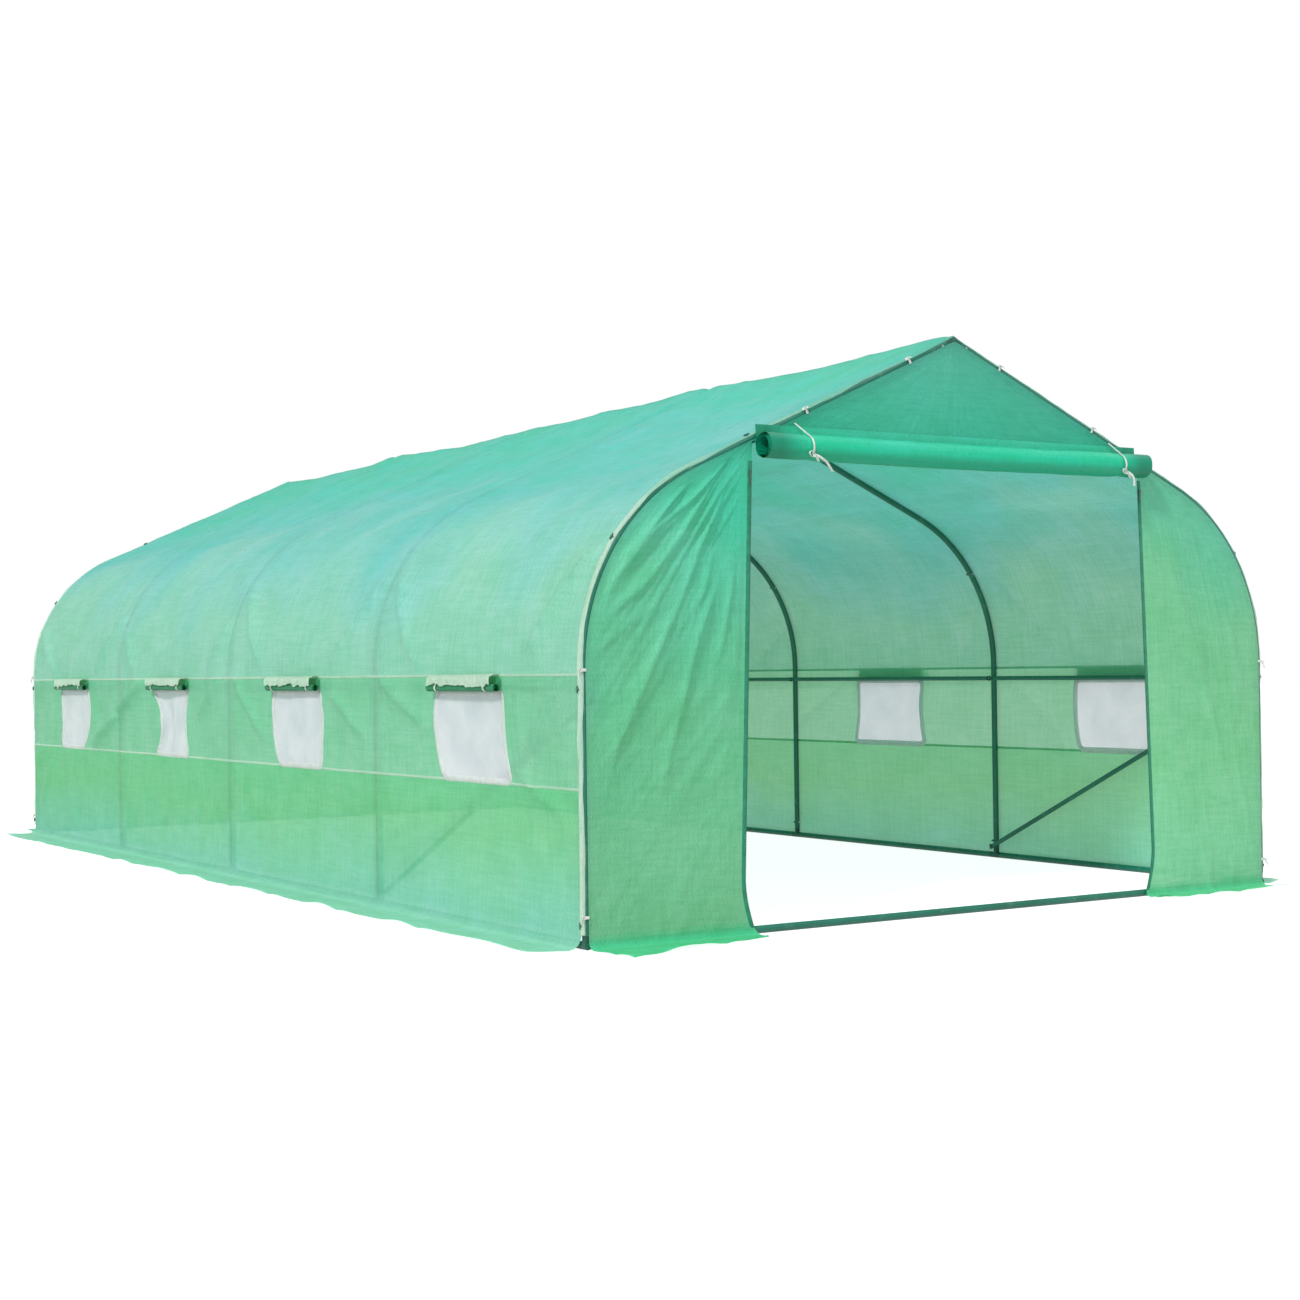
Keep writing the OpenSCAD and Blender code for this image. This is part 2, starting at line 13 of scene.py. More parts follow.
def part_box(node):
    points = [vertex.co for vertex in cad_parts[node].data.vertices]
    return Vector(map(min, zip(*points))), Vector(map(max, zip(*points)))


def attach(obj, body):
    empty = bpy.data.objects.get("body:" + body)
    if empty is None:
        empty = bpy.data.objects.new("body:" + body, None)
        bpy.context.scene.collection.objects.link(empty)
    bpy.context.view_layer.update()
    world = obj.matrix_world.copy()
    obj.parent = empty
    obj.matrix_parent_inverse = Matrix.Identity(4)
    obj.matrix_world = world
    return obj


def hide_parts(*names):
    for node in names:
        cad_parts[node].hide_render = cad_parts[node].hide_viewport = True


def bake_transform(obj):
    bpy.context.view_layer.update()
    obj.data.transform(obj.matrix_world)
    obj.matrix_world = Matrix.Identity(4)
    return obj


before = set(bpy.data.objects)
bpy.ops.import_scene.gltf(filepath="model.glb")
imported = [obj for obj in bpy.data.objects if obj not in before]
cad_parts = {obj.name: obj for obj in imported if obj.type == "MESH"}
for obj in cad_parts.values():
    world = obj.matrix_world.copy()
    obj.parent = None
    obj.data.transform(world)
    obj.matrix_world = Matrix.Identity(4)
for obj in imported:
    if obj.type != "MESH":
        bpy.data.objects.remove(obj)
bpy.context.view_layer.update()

# ---- Measures ----

FRONT, REAR = -1, 1
LEFT, RIGHT = -1, 1
SIDES = {"left": LEFT, "right": RIGHT}

leg_low, leg_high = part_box("hoop_1_legs")
roof_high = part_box("roof_cover")[1]
band_low, band_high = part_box("right_window_band")
screen_low, screen_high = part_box("right_window_screens")
gable_low, gable_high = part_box("front_gable")
skirt_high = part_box("right_lower_wall")[1]
roll_low, roll_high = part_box("door_curtain")
zip_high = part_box("door_zips")[1]
flap_low, flap_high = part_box("window_flap_right_1")

# The hoops and the cover over them. The cloth's middle lies COVER_OFF outside the hoops' centre line.
BAYS = 4
HOOP_R = (leg_high.y - leg_low.y) / 2
HALF_W = leg_high.x - HOOP_R
HALF_L = -(leg_high.y + leg_low.y) / 2
BAY_L = 2 * HALF_L / BAYS
BEND_R = 0.700
SLOPE = math.radians(24)
BEND = math.pi / 2 - SLOPE

CLOTH_T = band_high.x - band_low.x
COVER_OFF = (band_high.x + band_low.x) / 2 - HALF_W
COVER_HALF_L = roof_high.y
HIGH_SEAM = band_high.z
LOW_SEAM = band_low.z
RIDGE_Z = roof_high.z - (COVER_OFF + CLOTH_T / 2) / math.cos(SLOPE)
BEND_X = HALF_W - BEND_R
TANGENT_X = BEND_X + BEND_R * math.cos(BEND)
RAFTER_L = TANGENT_X / math.cos(SLOPE)
LEG_H = RIDGE_Z - math.tan(SLOPE) * TANGENT_X - BEND_R * math.sin(BEND)

# Distances along the hoop, measured from the ridge
P_LEG = RAFTER_L + BEND_R * BEND
P_GROUND = P_LEG + LEG_H
TURN_R = 0.045
P_TURN = P_GROUND - TURN_R
P_FLAT = P_TURN + TURN_R * math.pi / 2
SKIRT_W = skirt_high.x - HALF_W - COVER_OFF - TURN_R
P_SKIRT = P_FLAT + SKIRT_W
SKIRT_CORNER = 0.16

WINDOW_LOW, WINDOW_HIGH = screen_low.z, screen_high.z
WINDOW_HALF = screen_high.y - (HALF_L - BAY_L / 2)
PURLIN_Z = 0.800

# The end panels, and half the doorway's width at its top, at its widest place and at its foot
END_Y = -(gable_low.y + gable_high.y) / 2
GABLE_Z = gable_low.z
DOOR_TOP = 0.862
DOOR_WIDE = 0.911
DOOR_WIDE_Z = 0.180
DOOR_FOOT = 0.872

# The rolled door and flaps: radius, centre as (y, z) or (x, z), and half the length
ROLL_R = 0.043
ROLL_AT = (roll_low.y + ROLL_R, roll_low.z + ROLL_R)
ROLL_HALF = roll_high.x
CURTAIN_TOP = roll_high.z
FLAP_R = 0.014
FLAP_TIE_T = 0.0018
FLAP_AT = (flap_high.x - FLAP_R - FLAP_TIE_T, flap_low.z + FLAP_R + FLAP_TIE_T)
FLAP_HALF = (flap_high.y - flap_low.y) / 2


def bay_y(k):
    """The middle of bay k, counted from the front."""
    return -HALF_L + (k + 0.5) * BAY_L


# ---- Camera ----

CAMERA_AT = (-4.695, -8.478, 0.858)
CAMERA_YAW = 0.5609
CAMERA_PITCH = 0.0096
CAMERA_ROLL = -0.0133
CAMERA_LENS = 57.07


def make_camera():
    data = bpy.data.cameras.new("camera")
    data.lens = CAMERA_LENS
    data.sensor_width = 36
    camera = bpy.data.objects.new("camera", data)
    bpy.context.scene.collection.objects.link(camera)
    aim = Matrix.Rotation(-CAMERA_YAW, 4, "Z") @ Matrix.Rotation(math.pi / 2 + CAMERA_PITCH, 4, "X")
    camera.matrix_world = Matrix.Translation(CAMERA_AT) @ aim @ Matrix.Rotation(CAMERA_ROLL, 4, "Z")
    bpy.context.scene.camera = camera


make_camera()


# ---- Noise and folds ----

LATTICE = np.random.default_rng(11).uniform(-1, 1, (256, 256))


def noise(x, y):
    """Smooth noise from -1 to 1 with one cell to a unit."""
    i, j = np.floor(x).astype(int), np.floor(y).astype(int)
    a, b = x - i, y - j
    a, b = a * a * a * (a * (6 * a - 15) + 10), b * b * b * (b * (6 * b - 15) + 10)
    low = LATTICE[i % 256, j % 256] * (1 - a) + LATTICE[(i + 1) % 256, j % 256] * a
    high = LATTICE[i % 256, (j + 1) % 256] * (1 - a) + LATTICE[(i + 1) % 256, (j + 1) % 256] * a
    return low * (1 - b) + high * b


def rough(x, y, octaves=3):
    """Noise with finer and weaker copies of itself."""
    total = 0
    for k in range(octaves):
        total = total + noise(x * 2**k + 17.3 * k, y * 2**k + 5.1 * k) / 2**k
    return total


def ridged(x, y):
    """Noise with sharp crests, from 0 to 1."""
    return (1 - np.abs(noise(x, y))) ** 3


def step(x, low, high):
    """0 below low, 1 above high, smooth in between."""
    t = np.clip((x - low) / (high - low), 0, 1)
    return t * t * (3 - 2 * t)


def crease(x, y, start, end, width, height):
    """A fold along the line from start to end, sharp on top and fading out at both ends."""
    (ax, ay), (bx, by) = start, end
    length = math.hypot(bx - ax, by - ay)
    dx, dy = (bx - ax) / length, (by - ay) / length
    t = ((x - ax) * dx + (y - ay) * dy) / length
    off = np.abs((x - ax) * dy - (y - ay) * dx)
    return height * np.exp(-off / width) * step(t, -0.08, 0.25) * (1 - step(t, 0.7, 1.08))


# ---- The shape of the side cover ----

# How far the cover hangs in halfway between two hoops, at distances up along it from the ground
SAG = [(0, 0), (0.10, 0.004), (0.35, 0.010), (0.60, 0.009), (PURLIN_Z, 0.004), (0.95, 0.005), (1.30, 0.012),
       (1.70, 0.020), (2.10, 0.028), (2.60, 0.024), (2.78, 0.017), (P_GROUND, 0.0130)]

# How far the cloth shifts along the wall at a window's rear and front edge: (at its foot, halfway down)
WINDOW_SHIFTS = {
    LEFT: [((-0.034, 0.020), (-0.036, 0.016)), ((-0.040, 0.014), (0.004, -0.004)),
           ((-0.006, -0.092), (0.034, 0.060)), ((-0.004, -0.014), (0.082, -0.012))],
    RIGHT: [((-0.020, 0.012), (0.018, -0.014)), ((0.012, -0.016), (-0.022, 0.010)),
            ((0.024, 0.012), (-0.012, -0.012)), ((-0.018, 0.012), (0.022, 0.006))],
}

# Where the cloth billows in near the windows: (bay, along from its middle, up, reach along, reach up, depth)
BILLOWS = {
    LEFT: [(0, 0.02, 0.58, 0.13, 0.12, 0.012), (0, -0.42, 0.62, 0.14, 0.13, 0.010),
           (1, 0.06, 0.60, 0.16, 0.14, 0.010), (1, -0.45, 0.60, 0.12, 0.12, 0.012),
           (2, 0.12, 0.64, 0.10, 0.13, 0.026), (2, -0.40, 0.62, 0.14, 0.12, 0.012),
           (3, -0.05, 0.58, 0.14, 0.12, 0.018), (3, -0.40, 0.66, 0.12, 0.10, 0.022)],
    RIGHT: [(0, -0.08, 0.60, 0.14, 0.12, 0.014), (1, 0.10, 0.62, 0.12, 0.12, 0.018),
            (2, -0.06, 0.60, 0.14, 0.12, 0.012), (3, 0.10, 0.62, 0.12, 0.12, 0.016),
            (1, -0.45, 0.60, 0.14, 0.14, 0.014), (2, 0.42, 0.60, 0.14, 0.14, 0.014)],
}

# Tension folds in the walls: (start, end, width, height), with each point as (along, up)
WALL_FOLDS = {
    LEFT: [((1.97, 0.48), (1.03, 0.87), 0.034, 0.042), ((2.60, 0.46), (2.90, 0.12), 0.040, 0.014),
           ((-2.60, 0.58), (-2.98, 0.90), 0.026, 0.018), ((-2.55, 0.53), (-2.94, 0.40), 0.026, 0.016),
           ((-1.97, 0.66), (-1.50, 0.86), 0.026, 0.020), ((-0.44, 0.58), (-0.04, 0.86), 0.026, 0.020),
           ((0.42, 0.66), (0.06, 0.88), 0.026, 0.018), ((-1.42, 0.62), (-1.04, 0.82), 0.026, 0.018),
           ((-1.98, 0.46), (-1.52, 0.20), 0.040, 0.012)],
    RIGHT: [((-1.95, 0.50), (-1.50, 0.86), 0.030, 0.020), ((-0.40, 0.80), (0.06, 0.56), 0.030, 0.018),
            ((1.10, 0.55), (1.50, 0.84), 0.030, 0.020), ((2.60, 0.50), (2.95, 0.80), 0.030, 0.016)],
}


def window_shift(t, y):
    """How far the cloth is pulled along the wall round the windows, t being its place from the ridge."""
    up = P_GROUND - np.abs(t)
    depth = (WINDOW_HIGH - up) / (WINDOW_HIGH - WINDOW_LOW)
    inside = np.clip(depth, 0, 1)
    fade = step(up, 0.12, WINDOW_LOW - 0.02) * (1 - step(up, WINDOW_HIGH, HIGH_SEAM))
    shift = np.zeros_like(y)
    for side, shifts in WINDOW_SHIFTS.items():
        for k, (rear, front) in enumerate(shifts):
            edge = [foot * inside**3 + middle * np.sin(math.pi * inside) for foot, middle in (rear, front)]
            across = np.clip((y - bay_y(k) + WINDOW_HALF) / (2 * WINDOW_HALF), 0, 1)
            away = np.maximum(np.abs(y - bay_y(k)) - WINDOW_HALF, 0)
            near = 1 - step(away, 0, 0.26)
            shift += np.where(np.sign(t) == side, (edge[0] * across + edge[1] * (1 - across)) * near, 0)
    return shift * fade


def hoop_folds(side, y, up):
    """Folds that spread from each hoop down to the seam, where the roof's bend becomes the flat wall."""
    total = np.zeros_like(y)
    for k in range(BAYS + 1):
        for way in (-1, 1):
            reach = 0.36 + 0.10 * math.sin(2.3 * k + 1.1 * way + side)
            top = 1.20 + 0.10 * math.sin(1.7 * k + way)
            start = (-HALF_L + k * BAY_L + 0.02 * way, top)
            end = (-HALF_L + k * BAY_L + reach * way, HIGH_SEAM + 0.01)
            total += crease(y, up, start, end, 0.022, 0.027)
    return total


def slack(t, y):
    """How far the cover lies in from its line over the hoops; negative where a fold stands out."""
    side, up = np.sign(t), P_GROUND - np.abs(t)
    from_hoop = np.abs((y + HALF_L + BAY_L / 2) % BAY_L - BAY_L / 2)
    span = 4 * (from_hoop / BAY_L) * (1 - from_hoop / BAY_L)
    free = 1 - np.exp(-((from_hoop / 0.035) ** 2))
    wall = 1 - step(up, 0.86, 1.10)
    bend = 1 - wall
    total = np.interp(up, *zip(*SAG)) * span
    total += free * 0.0045 * rough(y * 1.9 + 3, t * 1.3, 2)
    total += free * 0.0022 * rough(y * 6.5 + t * 3, t * 3.1 + 40, 2)
    total += free * wall * (0.0040 * noise(y * 3.3, t * 5) + 0.0016 * rough(y * 17, t * 13, 2))
    total -= free * bend * 0.0085 * ridged(y * 0.9 + t * 0.5, t * 6.5 - y * 0.4)
    total -= free * bend * 0.0048 * ridged(y * 2.6 + t * 3.0, t * 9 + 20)
    total -= free * wall * 0.0035 * ridged(y * 4.0 + t * 6.0, t * 4.0 - y * 2.0)
    for s in (LEFT, RIGHT):
        part = hoop_folds(s, y, up)
        for start, end, width, height in WALL_FOLDS[s]:
            part += crease(y, up, start, end, width, 1.3 * height)
        for k, along, height, reach_y, reach_up, depth in BILLOWS[s]:
            far = ((y - bay_y(k) - along) / reach_y) ** 2 + ((up - height) / reach_up) ** 2
            part -= depth * np.exp(-far)
        total -= np.where(side == s, part * free, 0)
    # The cloth stays outside the side purlin, and inside the window flaps when they come down
    total = np.minimum(total, 0.0125 + 0.5 * np.abs(up - PURLIN_Z) + 0.3 * step(up, 0.9, 1.0))
    from_window = np.abs((y + HALF_L) % BAY_L - BAY_L / 2) - WINDOW_HALF
    clear_of_flap = -0.0025 - 0.6 * np.maximum(from_window - 0.12, 0) - 2 * np.maximum(up - 0.87, 0)
    return np.maximum(total, clear_of_flap)


def profile(p, off):
    """(x, z) on the right, p along the hoop from the ridge, off outward. Past the ground it is the skirt."""
    angle = np.clip((P_LEG - p) / BEND_R, 0, BEND)
    above = np.maximum(RAFTER_L - p, 0) + off * math.tan(SLOPE) * np.clip(1 - p / 0.4, 0, 1)
    x = BEND_X + (BEND_R + off) * np.cos(angle) - above * math.cos(SLOPE)
    z = LEG_H + (BEND_R + off) * np.sin(angle) + above * math.sin(SLOPE)
    z = z - np.clip(p - P_LEG, 0, LEG_H - TURN_R)
    turn = np.clip((p - P_TURN) / TURN_R, 0, math.pi / 2)
    x = x + TURN_R * (1 - np.cos(turn)) + np.maximum(p - P_FLAT, 0)
    return x, z - TURN_R * np.sin(turn)


def on_cover(t, y, lift=0.0):
    """A point on the side cover: t along it from the ridge, positive on the right, and lift outside it."""
    p, side = np.abs(t), np.sign(t)
    wall = 1 - step(p, P_TURN - 0.12, P_TURN)
    x, z = profile(p, COVER_OFF - slack(t, y) * wall + lift)
    out = np.clip((p - P_FLAT) / SKIRT_W, 0, 1)
    from_corner = np.clip(-y - COVER_HALF_L + SKIRT_CORNER, 0, SKIRT_CORNER) / SKIRT_CORNER
    corner = np.sqrt(np.clip(1 - from_corner**2, 0, 1))
    edge = out * SKIRT_W * (0.93 + 0.05 * noise(y * 2.1, side * 7 + 3)) * (0.25 + 0.75 * corner)
    x = np.where(p > P_FLAT, x - (p - P_FLAT) + edge, x)
    wave = 0.010 * np.abs(rough(y * 3.0 + side * 9, p * 2.0, 2)) * (0.3 + 0.7 * out)
    z = z + CLOTH_T + step(p, P_TURN, P_SKIRT) * wave
    return np.where(t < 0, -x, x), y + window_shift(t, y), z


# ---- The shape of the end panels ----

# Folds that fan out on the left panel: (angle, height, where it starts, where it ends)
ray_draws = np.random.default_rng(5)
LEFT_RAYS = [(math.radians(6 + 3.6 * k + ray_draws.uniform(-1.5, 1.5)), ray_draws.uniform(0.008, 0.017),
              ray_draws.uniform(0.10, 0.50), ray_draws.uniform(0.70, 1.45)) for k in range(15)]


def hoop_x(z):
    """Half the width of the end panels at height z: just inside the outside of the end hoop."""
    inset = 0.002
    bend = BEND_X + np.sqrt(np.maximum((BEND_R - inset) ** 2 - np.maximum(z - LEG_H, 0) ** 2, 0))
    slope = (RIDGE_Z - inset / math.cos(SLOPE) - z) / math.tan(SLOPE)
    return np.where(z > LEG_H + BEND_R * math.sin(BEND), slope, bend)


def door_x(z):
    """Half the width of the doorway at height z."""
    above = DOOR_WIDE + (DOOR_TOP - DOOR_WIDE) * (z - DOOR_WIDE_Z) / (GABLE_Z - DOOR_WIDE_Z)
    below = DOOR_FOOT + (DOOR_WIDE - DOOR_FOOT) * np.sin(np.clip(z / DOOR_WIDE_Z, 0, 1) * math.pi / 2)
    return np.where(z > DOOR_WIDE_Z, above, below)


def left_panel_folds(x, z):
    """Folds that fan out from the top of the doorway down to the hoop."""
    across, down = np.abs(x) - (DOOR_TOP - 0.01), GABLE_Z + 0.03 - z
    reach, angle = np.hypot(across, down), np.arctan2(across, down)
    total = np.zeros_like(x)
    for ray, height, near, far in LEFT_RAYS:
        bend = 0.05 * noise(reach * 3 + 10 * ray, reach * 0)
        fold = height * np.exp(-np.abs(angle - ray + bend) / 0.022)
        total += fold * step(reach, near, near + 0.2) * (1 - step(reach, far - 0.25, far))
    a, b = across * 0.62 + down * 0.785, across * 0.785 - down * 0.62
    total += 0.0085 * (ridged(a * 1.6 + 3, b * 10) - 0.4)
    total += 0.0060 * (ridged(a * 3.4 + 9, b * 27 + 7) - 0.4)
    total = total * (0.35 + 0.65 * step(z, 0.20, 0.85))
    return total + 0.0060 * rough(across * 2.5, down * 1.6, 2)


def right_panel_folds(x, z):
    """Shallow folds that hang down from the doorway's corner, and one long crease."""
    across, down = np.abs(x) - DOOR_TOP, GABLE_Z - z
    a, b = across * 0.26 + down * 0.966, across * 0.966 - down * 0.26
    total = 0.0065 * (ridged(a * 1.3 + 31, b * 8 + 2) - 0.4)
    total += 0.0032 * (ridged(a * 3.5 + 3, b * 26 + 12) - 0.4)
    total += 0.0070 * rough(across * 2.2 + 8, down * 1.3, 2)
    return total + crease(x, z, (0.90, 1.56), (1.36, 0.30), 0.03, 0.007)


def rear_folds(x, z):
    """Loose waves over the rear wall, with a crease from each upper corner."""
    total = 0.0075 * rough(x * 1.4 + 60, z * 1.5, 3)
    total += 0.0050 * (ridged(x * 5 + z * 3, z * 1.5 - x) - 0.4)
    for way in (-1, 1):
        total += crease(x, z, (1.10 * way, 1.45), (0.55 * way, 0.60), 0.05, 0.010)
    return total


def gable_folds(x, z):
    """Faint folds, all of them inward, so that the door's roll has room."""
    return 0.0030 * (rough(x * 2.4 + 90, z * 5, 3) - 0.8) + 0.0025 * (ridged(x * 4, z * 9 + x * 3) - 0.9)


PANEL_FOLDS = {"front_left": left_panel_folds, "front_right": right_panel_folds, "rear": rear_folds,
               "gable": gable_folds}


def on_end(end, folds, x, z, lift=0.0):
    """A point on an end panel. Its folds die away at the hoop, at the zips and under the rolled door."""
    hoop = step(hoop_x(z) - np.abs(x), 0.006, 0.10)
    door = step(np.abs(x) - door_x(z), 0.014, 0.10) if folds.startswith("front") else 1.0
    bulge = PANEL_FOLDS[folds](x, z) * hoop * door
    bulge = np.where(z > GABLE_Z - 0.01, np.minimum(bulge, 0.0004), bulge)
    return x, end * (END_Y + bulge + lift), z


# ---- Meshes ----

def link_mesh(name, points, faces, flat=None):
    """A new object with smooth faces. flat gives each point's place on the flat cloth, for the weave."""
    mesh = bpy.data.meshes.new(name)
    mesh.from_pydata(np.asarray(points, float).tolist(), [], [list(f) for f in faces])
    mesh.polygons.foreach_set("use_smooth", [True] * len(mesh.polygons))
    if flat is not None:
        weave = mesh.attributes.new("flat_cloth", "FLOAT_VECTOR", "POINT")
        weave.data.foreach_set("vector", np.asarray(flat, np.float32).ravel())
    mesh.update()
    made = bpy.data.objects.new(f"{name}_look", mesh)
    bpy.context.scene.collection.objects.link(made)
    return made


def grid(us, vs, place, keep=None):
    """Points, faces and flat places of a surface over us and vs. keep says which cells are cloth."""
    u, v = np.meshgrid(np.asarray(us, float), np.asarray(vs, float), indexing="ij")
    points = np.stack(np.broadcast_arrays(*place(u, v)), axis=-1).reshape(-1, 3)
    flat = np.stack([u, v, u * 0], axis=-1).reshape(-1, 3)
    rows, columns = u.shape
    i, j = np.meshgrid(np.arange(rows - 1), np.arange(columns - 1), indexing="ij")
    first = i * columns + j
    faces = np.stack([first, first + columns, first + columns + 1, first + 1], axis=-1).reshape(-1, 4)
    if keep is not None:
        faces = faces[keep(flat[faces, 0].mean(1), flat[faces, 1].mean(1))]
    used, faces = np.unique(faces, return_inverse=True)
    return points[used], faces.reshape(-1, 4), flat[used]


def sheet_mesh(name, us, vs, place, keep=None):
    return link_mesh(name, *grid(us, vs, place, keep))


def joined(name, parts):
    """One object from several (points, faces, flat) parts."""
    points, faces, flats, start = [], [], [], 0
    for part_points, part_faces, part_flat in parts:
        points.append(part_points)
        faces += [[int(i) + start for i in f] for f in part_faces]
        flats.append(part_flat)
        start += len(part_points)
    return link_mesh(name, np.concatenate(points), faces, np.concatenate(flats))


def lines(stops, gap):
    """Grid lines through every stop, at most gap apart."""
    made = [np.linspace(a, b, max(2, math.ceil((b - a) / gap) + 1))[:-1] for a, b in zip(stops, stops[1:])]
    return np.concatenate([*made, stops[-1:]])


def smooth_route(stops, fine=6):
    """A smooth line through the stops."""
    p = np.asarray(stops, float)
    p = np.concatenate([[2 * p[0] - p[1]], p, [2 * p[-1] - p[-2]]])
    t = np.linspace(0, 1, fine, endpoint=False)[:, None]
    made = []
    for a, b, c, d in zip(p, p[1:], p[2:], p[3:]):
        square, cube = 2 * a - 5 * b + 4 * c - d, 3 * b - a - 3 * c + d
        made.append(0.5 * (2 * b + (c - a) * t + square * t**2 + cube * t**3))
    return np.concatenate([*made, [p[-2]]])


def area_under(heights, places):
    """The area under a curve."""
    return float(np.sum((heights[1:] + heights[:-1]) * np.diff(places)) / 2)


def metres(*sides):
    """Sizes rounded to the millimetre."""
    return tuple(round(float(s), 3) for s in sides)


def unit(v):
    return v / np.maximum(np.linalg.norm(v, axis=-1, keepdims=True), 1e-9)


def swept(route, outline, across):
    """An outline of (across, out) points carried along a route. across is the direction of its first axis."""
    route = np.asarray(route, float)
    along = unit(np.gradient(route, axis=0))
    wide = np.asarray(across, float) * np.ones_like(route)
    wide = unit(wide - (wide * along).sum(1, keepdims=True) * along)
    out = np.cross(along, wide)
    outline = np.asarray(outline, float)
    points = route[:, None] + outline[None, :, :1] * wide[:, None] + outline[None, :, 1:] * out[:, None]
    rings, sides = points.shape[:2]
    length = np.concatenate([[0], np.cumsum(np.linalg.norm(np.diff(route, axis=0), axis=1))])
    flat = np.stack(np.broadcast_arrays(outline[None, :, 0], length[:, None], 0.0), axis=-1).reshape(-1, 3)
    faces = []
    for i in range(rings - 1):
        for j in range(sides):
            a, b = i * sides + j, i * sides + (j + 1) % sides
            faces.append([a, b, b + sides, a + sides])
    points = points.reshape(-1, 3)
    for ring, turn in ((0, -1), (rings - 1, 1)):
        rim = [ring * sides + j for j in range(sides)][::turn]
        centre = len(points)
        points = np.concatenate([points, [route[ring]]])
        flat = np.concatenate([flat, [[0, length[ring], 0]]])
        faces += [[centre, rim[j], rim[(j + 1) % sides]] for j in range(sides)]
    return points, faces, flat


def oval(width, height, sides=10):
    """The outline of a tape or cord, for swept."""
    turn = np.linspace(0, 2 * math.pi, sides, endpoint=False)
    return np.stack([np.cos(turn) * width / 2, np.sin(turn) * height / 2], axis=1)


# ---- Materials ----

class Graph:
    """A material's node tree with short calls."""

    def __init__(self, name):
        self.material = bpy.data.materials.new(name)
        self.material.use_nodes = True
        self.tree = self.material.node_tree
        self.tree.nodes.clear()

    def node(self, kind, inputs=None, **settings):
        made = self.tree.nodes.new("ShaderNode" + kind)
        for key, value in settings.items():
            setattr(made, key, value)
        for key, value in (inputs or {}).items():
            if isinstance(value, bpy.types.NodeSocket):
                self.tree.links.new(value, made.inputs[key])
            else:
                made.inputs[key].default_value = value
        return made

    def here(self):
        """The place in the piece's own space, which at rest is the row frame."""
        return self.node("TexCoord").outputs["Object"]

    def parts(self, vector):
        return self.node("SeparateXYZ", {"Vector": vector}).outputs

    def math(self, operation, a, b=0.0, clamp=False):
        return self.node("Math", {0: a, 1: b}, operation=operation, use_clamp=clamp).outputs[0]

    def times(self, a, b):
        return self.math("MULTIPLY", a, b)

    def wave(self, value, pitch):
        """A sine with one hump to a pitch, up and down in turn."""
        return self.math("SINE", self.times(value, math.pi / pitch))

    def mix(self, factor, a, b, blend="MIX"):
        made = self.node("Mix", data_type="RGBA", blend_type=blend, clamp_factor=True)
        for socket, value in ((made.inputs[0], factor), (made.inputs[6], a), (made.inputs[7], b)):
            if isinstance(value, bpy.types.NodeSocket):
                self.tree.links.new(value, socket)
            else:
                socket.default_value = value
        return made.outputs[2]

    def span(self, value, low, high, to_low=0.0, to_high=1.0):
        """The value's place between low and high, carried over to the other two and held there."""
        ends = {"From Min": low, "From Max": high, "To Min": to_low, "To Max": to_high}
        return self.node("MapRange", {"Value": value, **ends}).outputs[0]

    def noise(self, vector, scale, detail=3.0, roughness=0.55, distortion=0.0, kind="FBM"):
        inputs = {"Vector": vector, "Scale": scale, "Detail": detail, "Roughness": roughness,
                  "Distortion": distortion}
        return self.node("TexNoise", inputs, noise_type=kind).outputs["Fac"]

    def stretched(self, vector, x, y, z):
        return self.node("Mapping", {"Vector": vector, "Scale": (x, y, z)}).outputs["Vector"]

    def ramp(self, value, stops):
        made = self.node("ValToRGB", {"Fac": value})
        elements = made.color_ramp.elements
        while len(elements) < len(stops):
            elements.new(0.5)
        for element, (at, colour) in zip(elements, stops):
            element.position = at
            element.color = colour
        return made.outputs["Color"]

    def bump(self, height, distance, strength=1.0, normal=None):
        inputs = {"Height": height, "Distance": distance, "Strength": strength}
        if normal is not None:
            inputs["Normal"] = normal
        return self.node("Bump", inputs).outputs["Normal"]

    def skin(self, colour, gloss, normal, more=()):
        inputs = {"Base Color": colour, "Roughness": gloss, "Normal": normal, **dict(more)}
        return self.node("BsdfPrincipled", inputs).outputs[0]

    def either(self, factor, a, b):
        """Two shaders mixed."""
        return self.node("MixShader", {0: factor, 1: a, 2: b}).outputs[0]

    def finish(self, shader):
        out = self.tree.nodes.new("ShaderNodeOutputMaterial")
        self.tree.links.new(shader, out.inputs["Surface"])
        return self.material


def rgb(red, green, blue):
    """A colour from 0 to 255 values, as the linear values that shaders take."""
    parts = [((c / 255 + 0.055) / 1.055) ** 2.4 if c > 10 else c / 255 / 12.92 for c in (red, green, blue)]
    return (*parts, 1.0)


def cloth_place(g, flat=True):
    """Where the weave is on the cloth: its own flat measure, or the place in the row frame."""
    if flat:
        return g.node("Attribute", attribute_name="flat_cloth").outputs["Vector"]
    return g.here()


def weave_height(g, place, pitch, axes):
    """Crossed flat tapes: which one is on top changes from crossing to crossing."""
    parts = g.parts(place)
    return g.times(*[g.wave(parts[k], pitch) for k in axes])


# The width of the cloth's flat tapes, and the spacing of the stronger threads among them
WEAVE_PITCH = 0.0026
SCRIM_PITCH = 0.0125
# How much longer the streaks in the cloth are than they are wide
STREAK = 14.0


def tinted(g, factor, base, tint):
    """The base colour, turned towards itself times tint by the factor."""
    return g.mix(factor, base, g.mix(1.0, base, (*tint, 1), "MULTIPLY"))


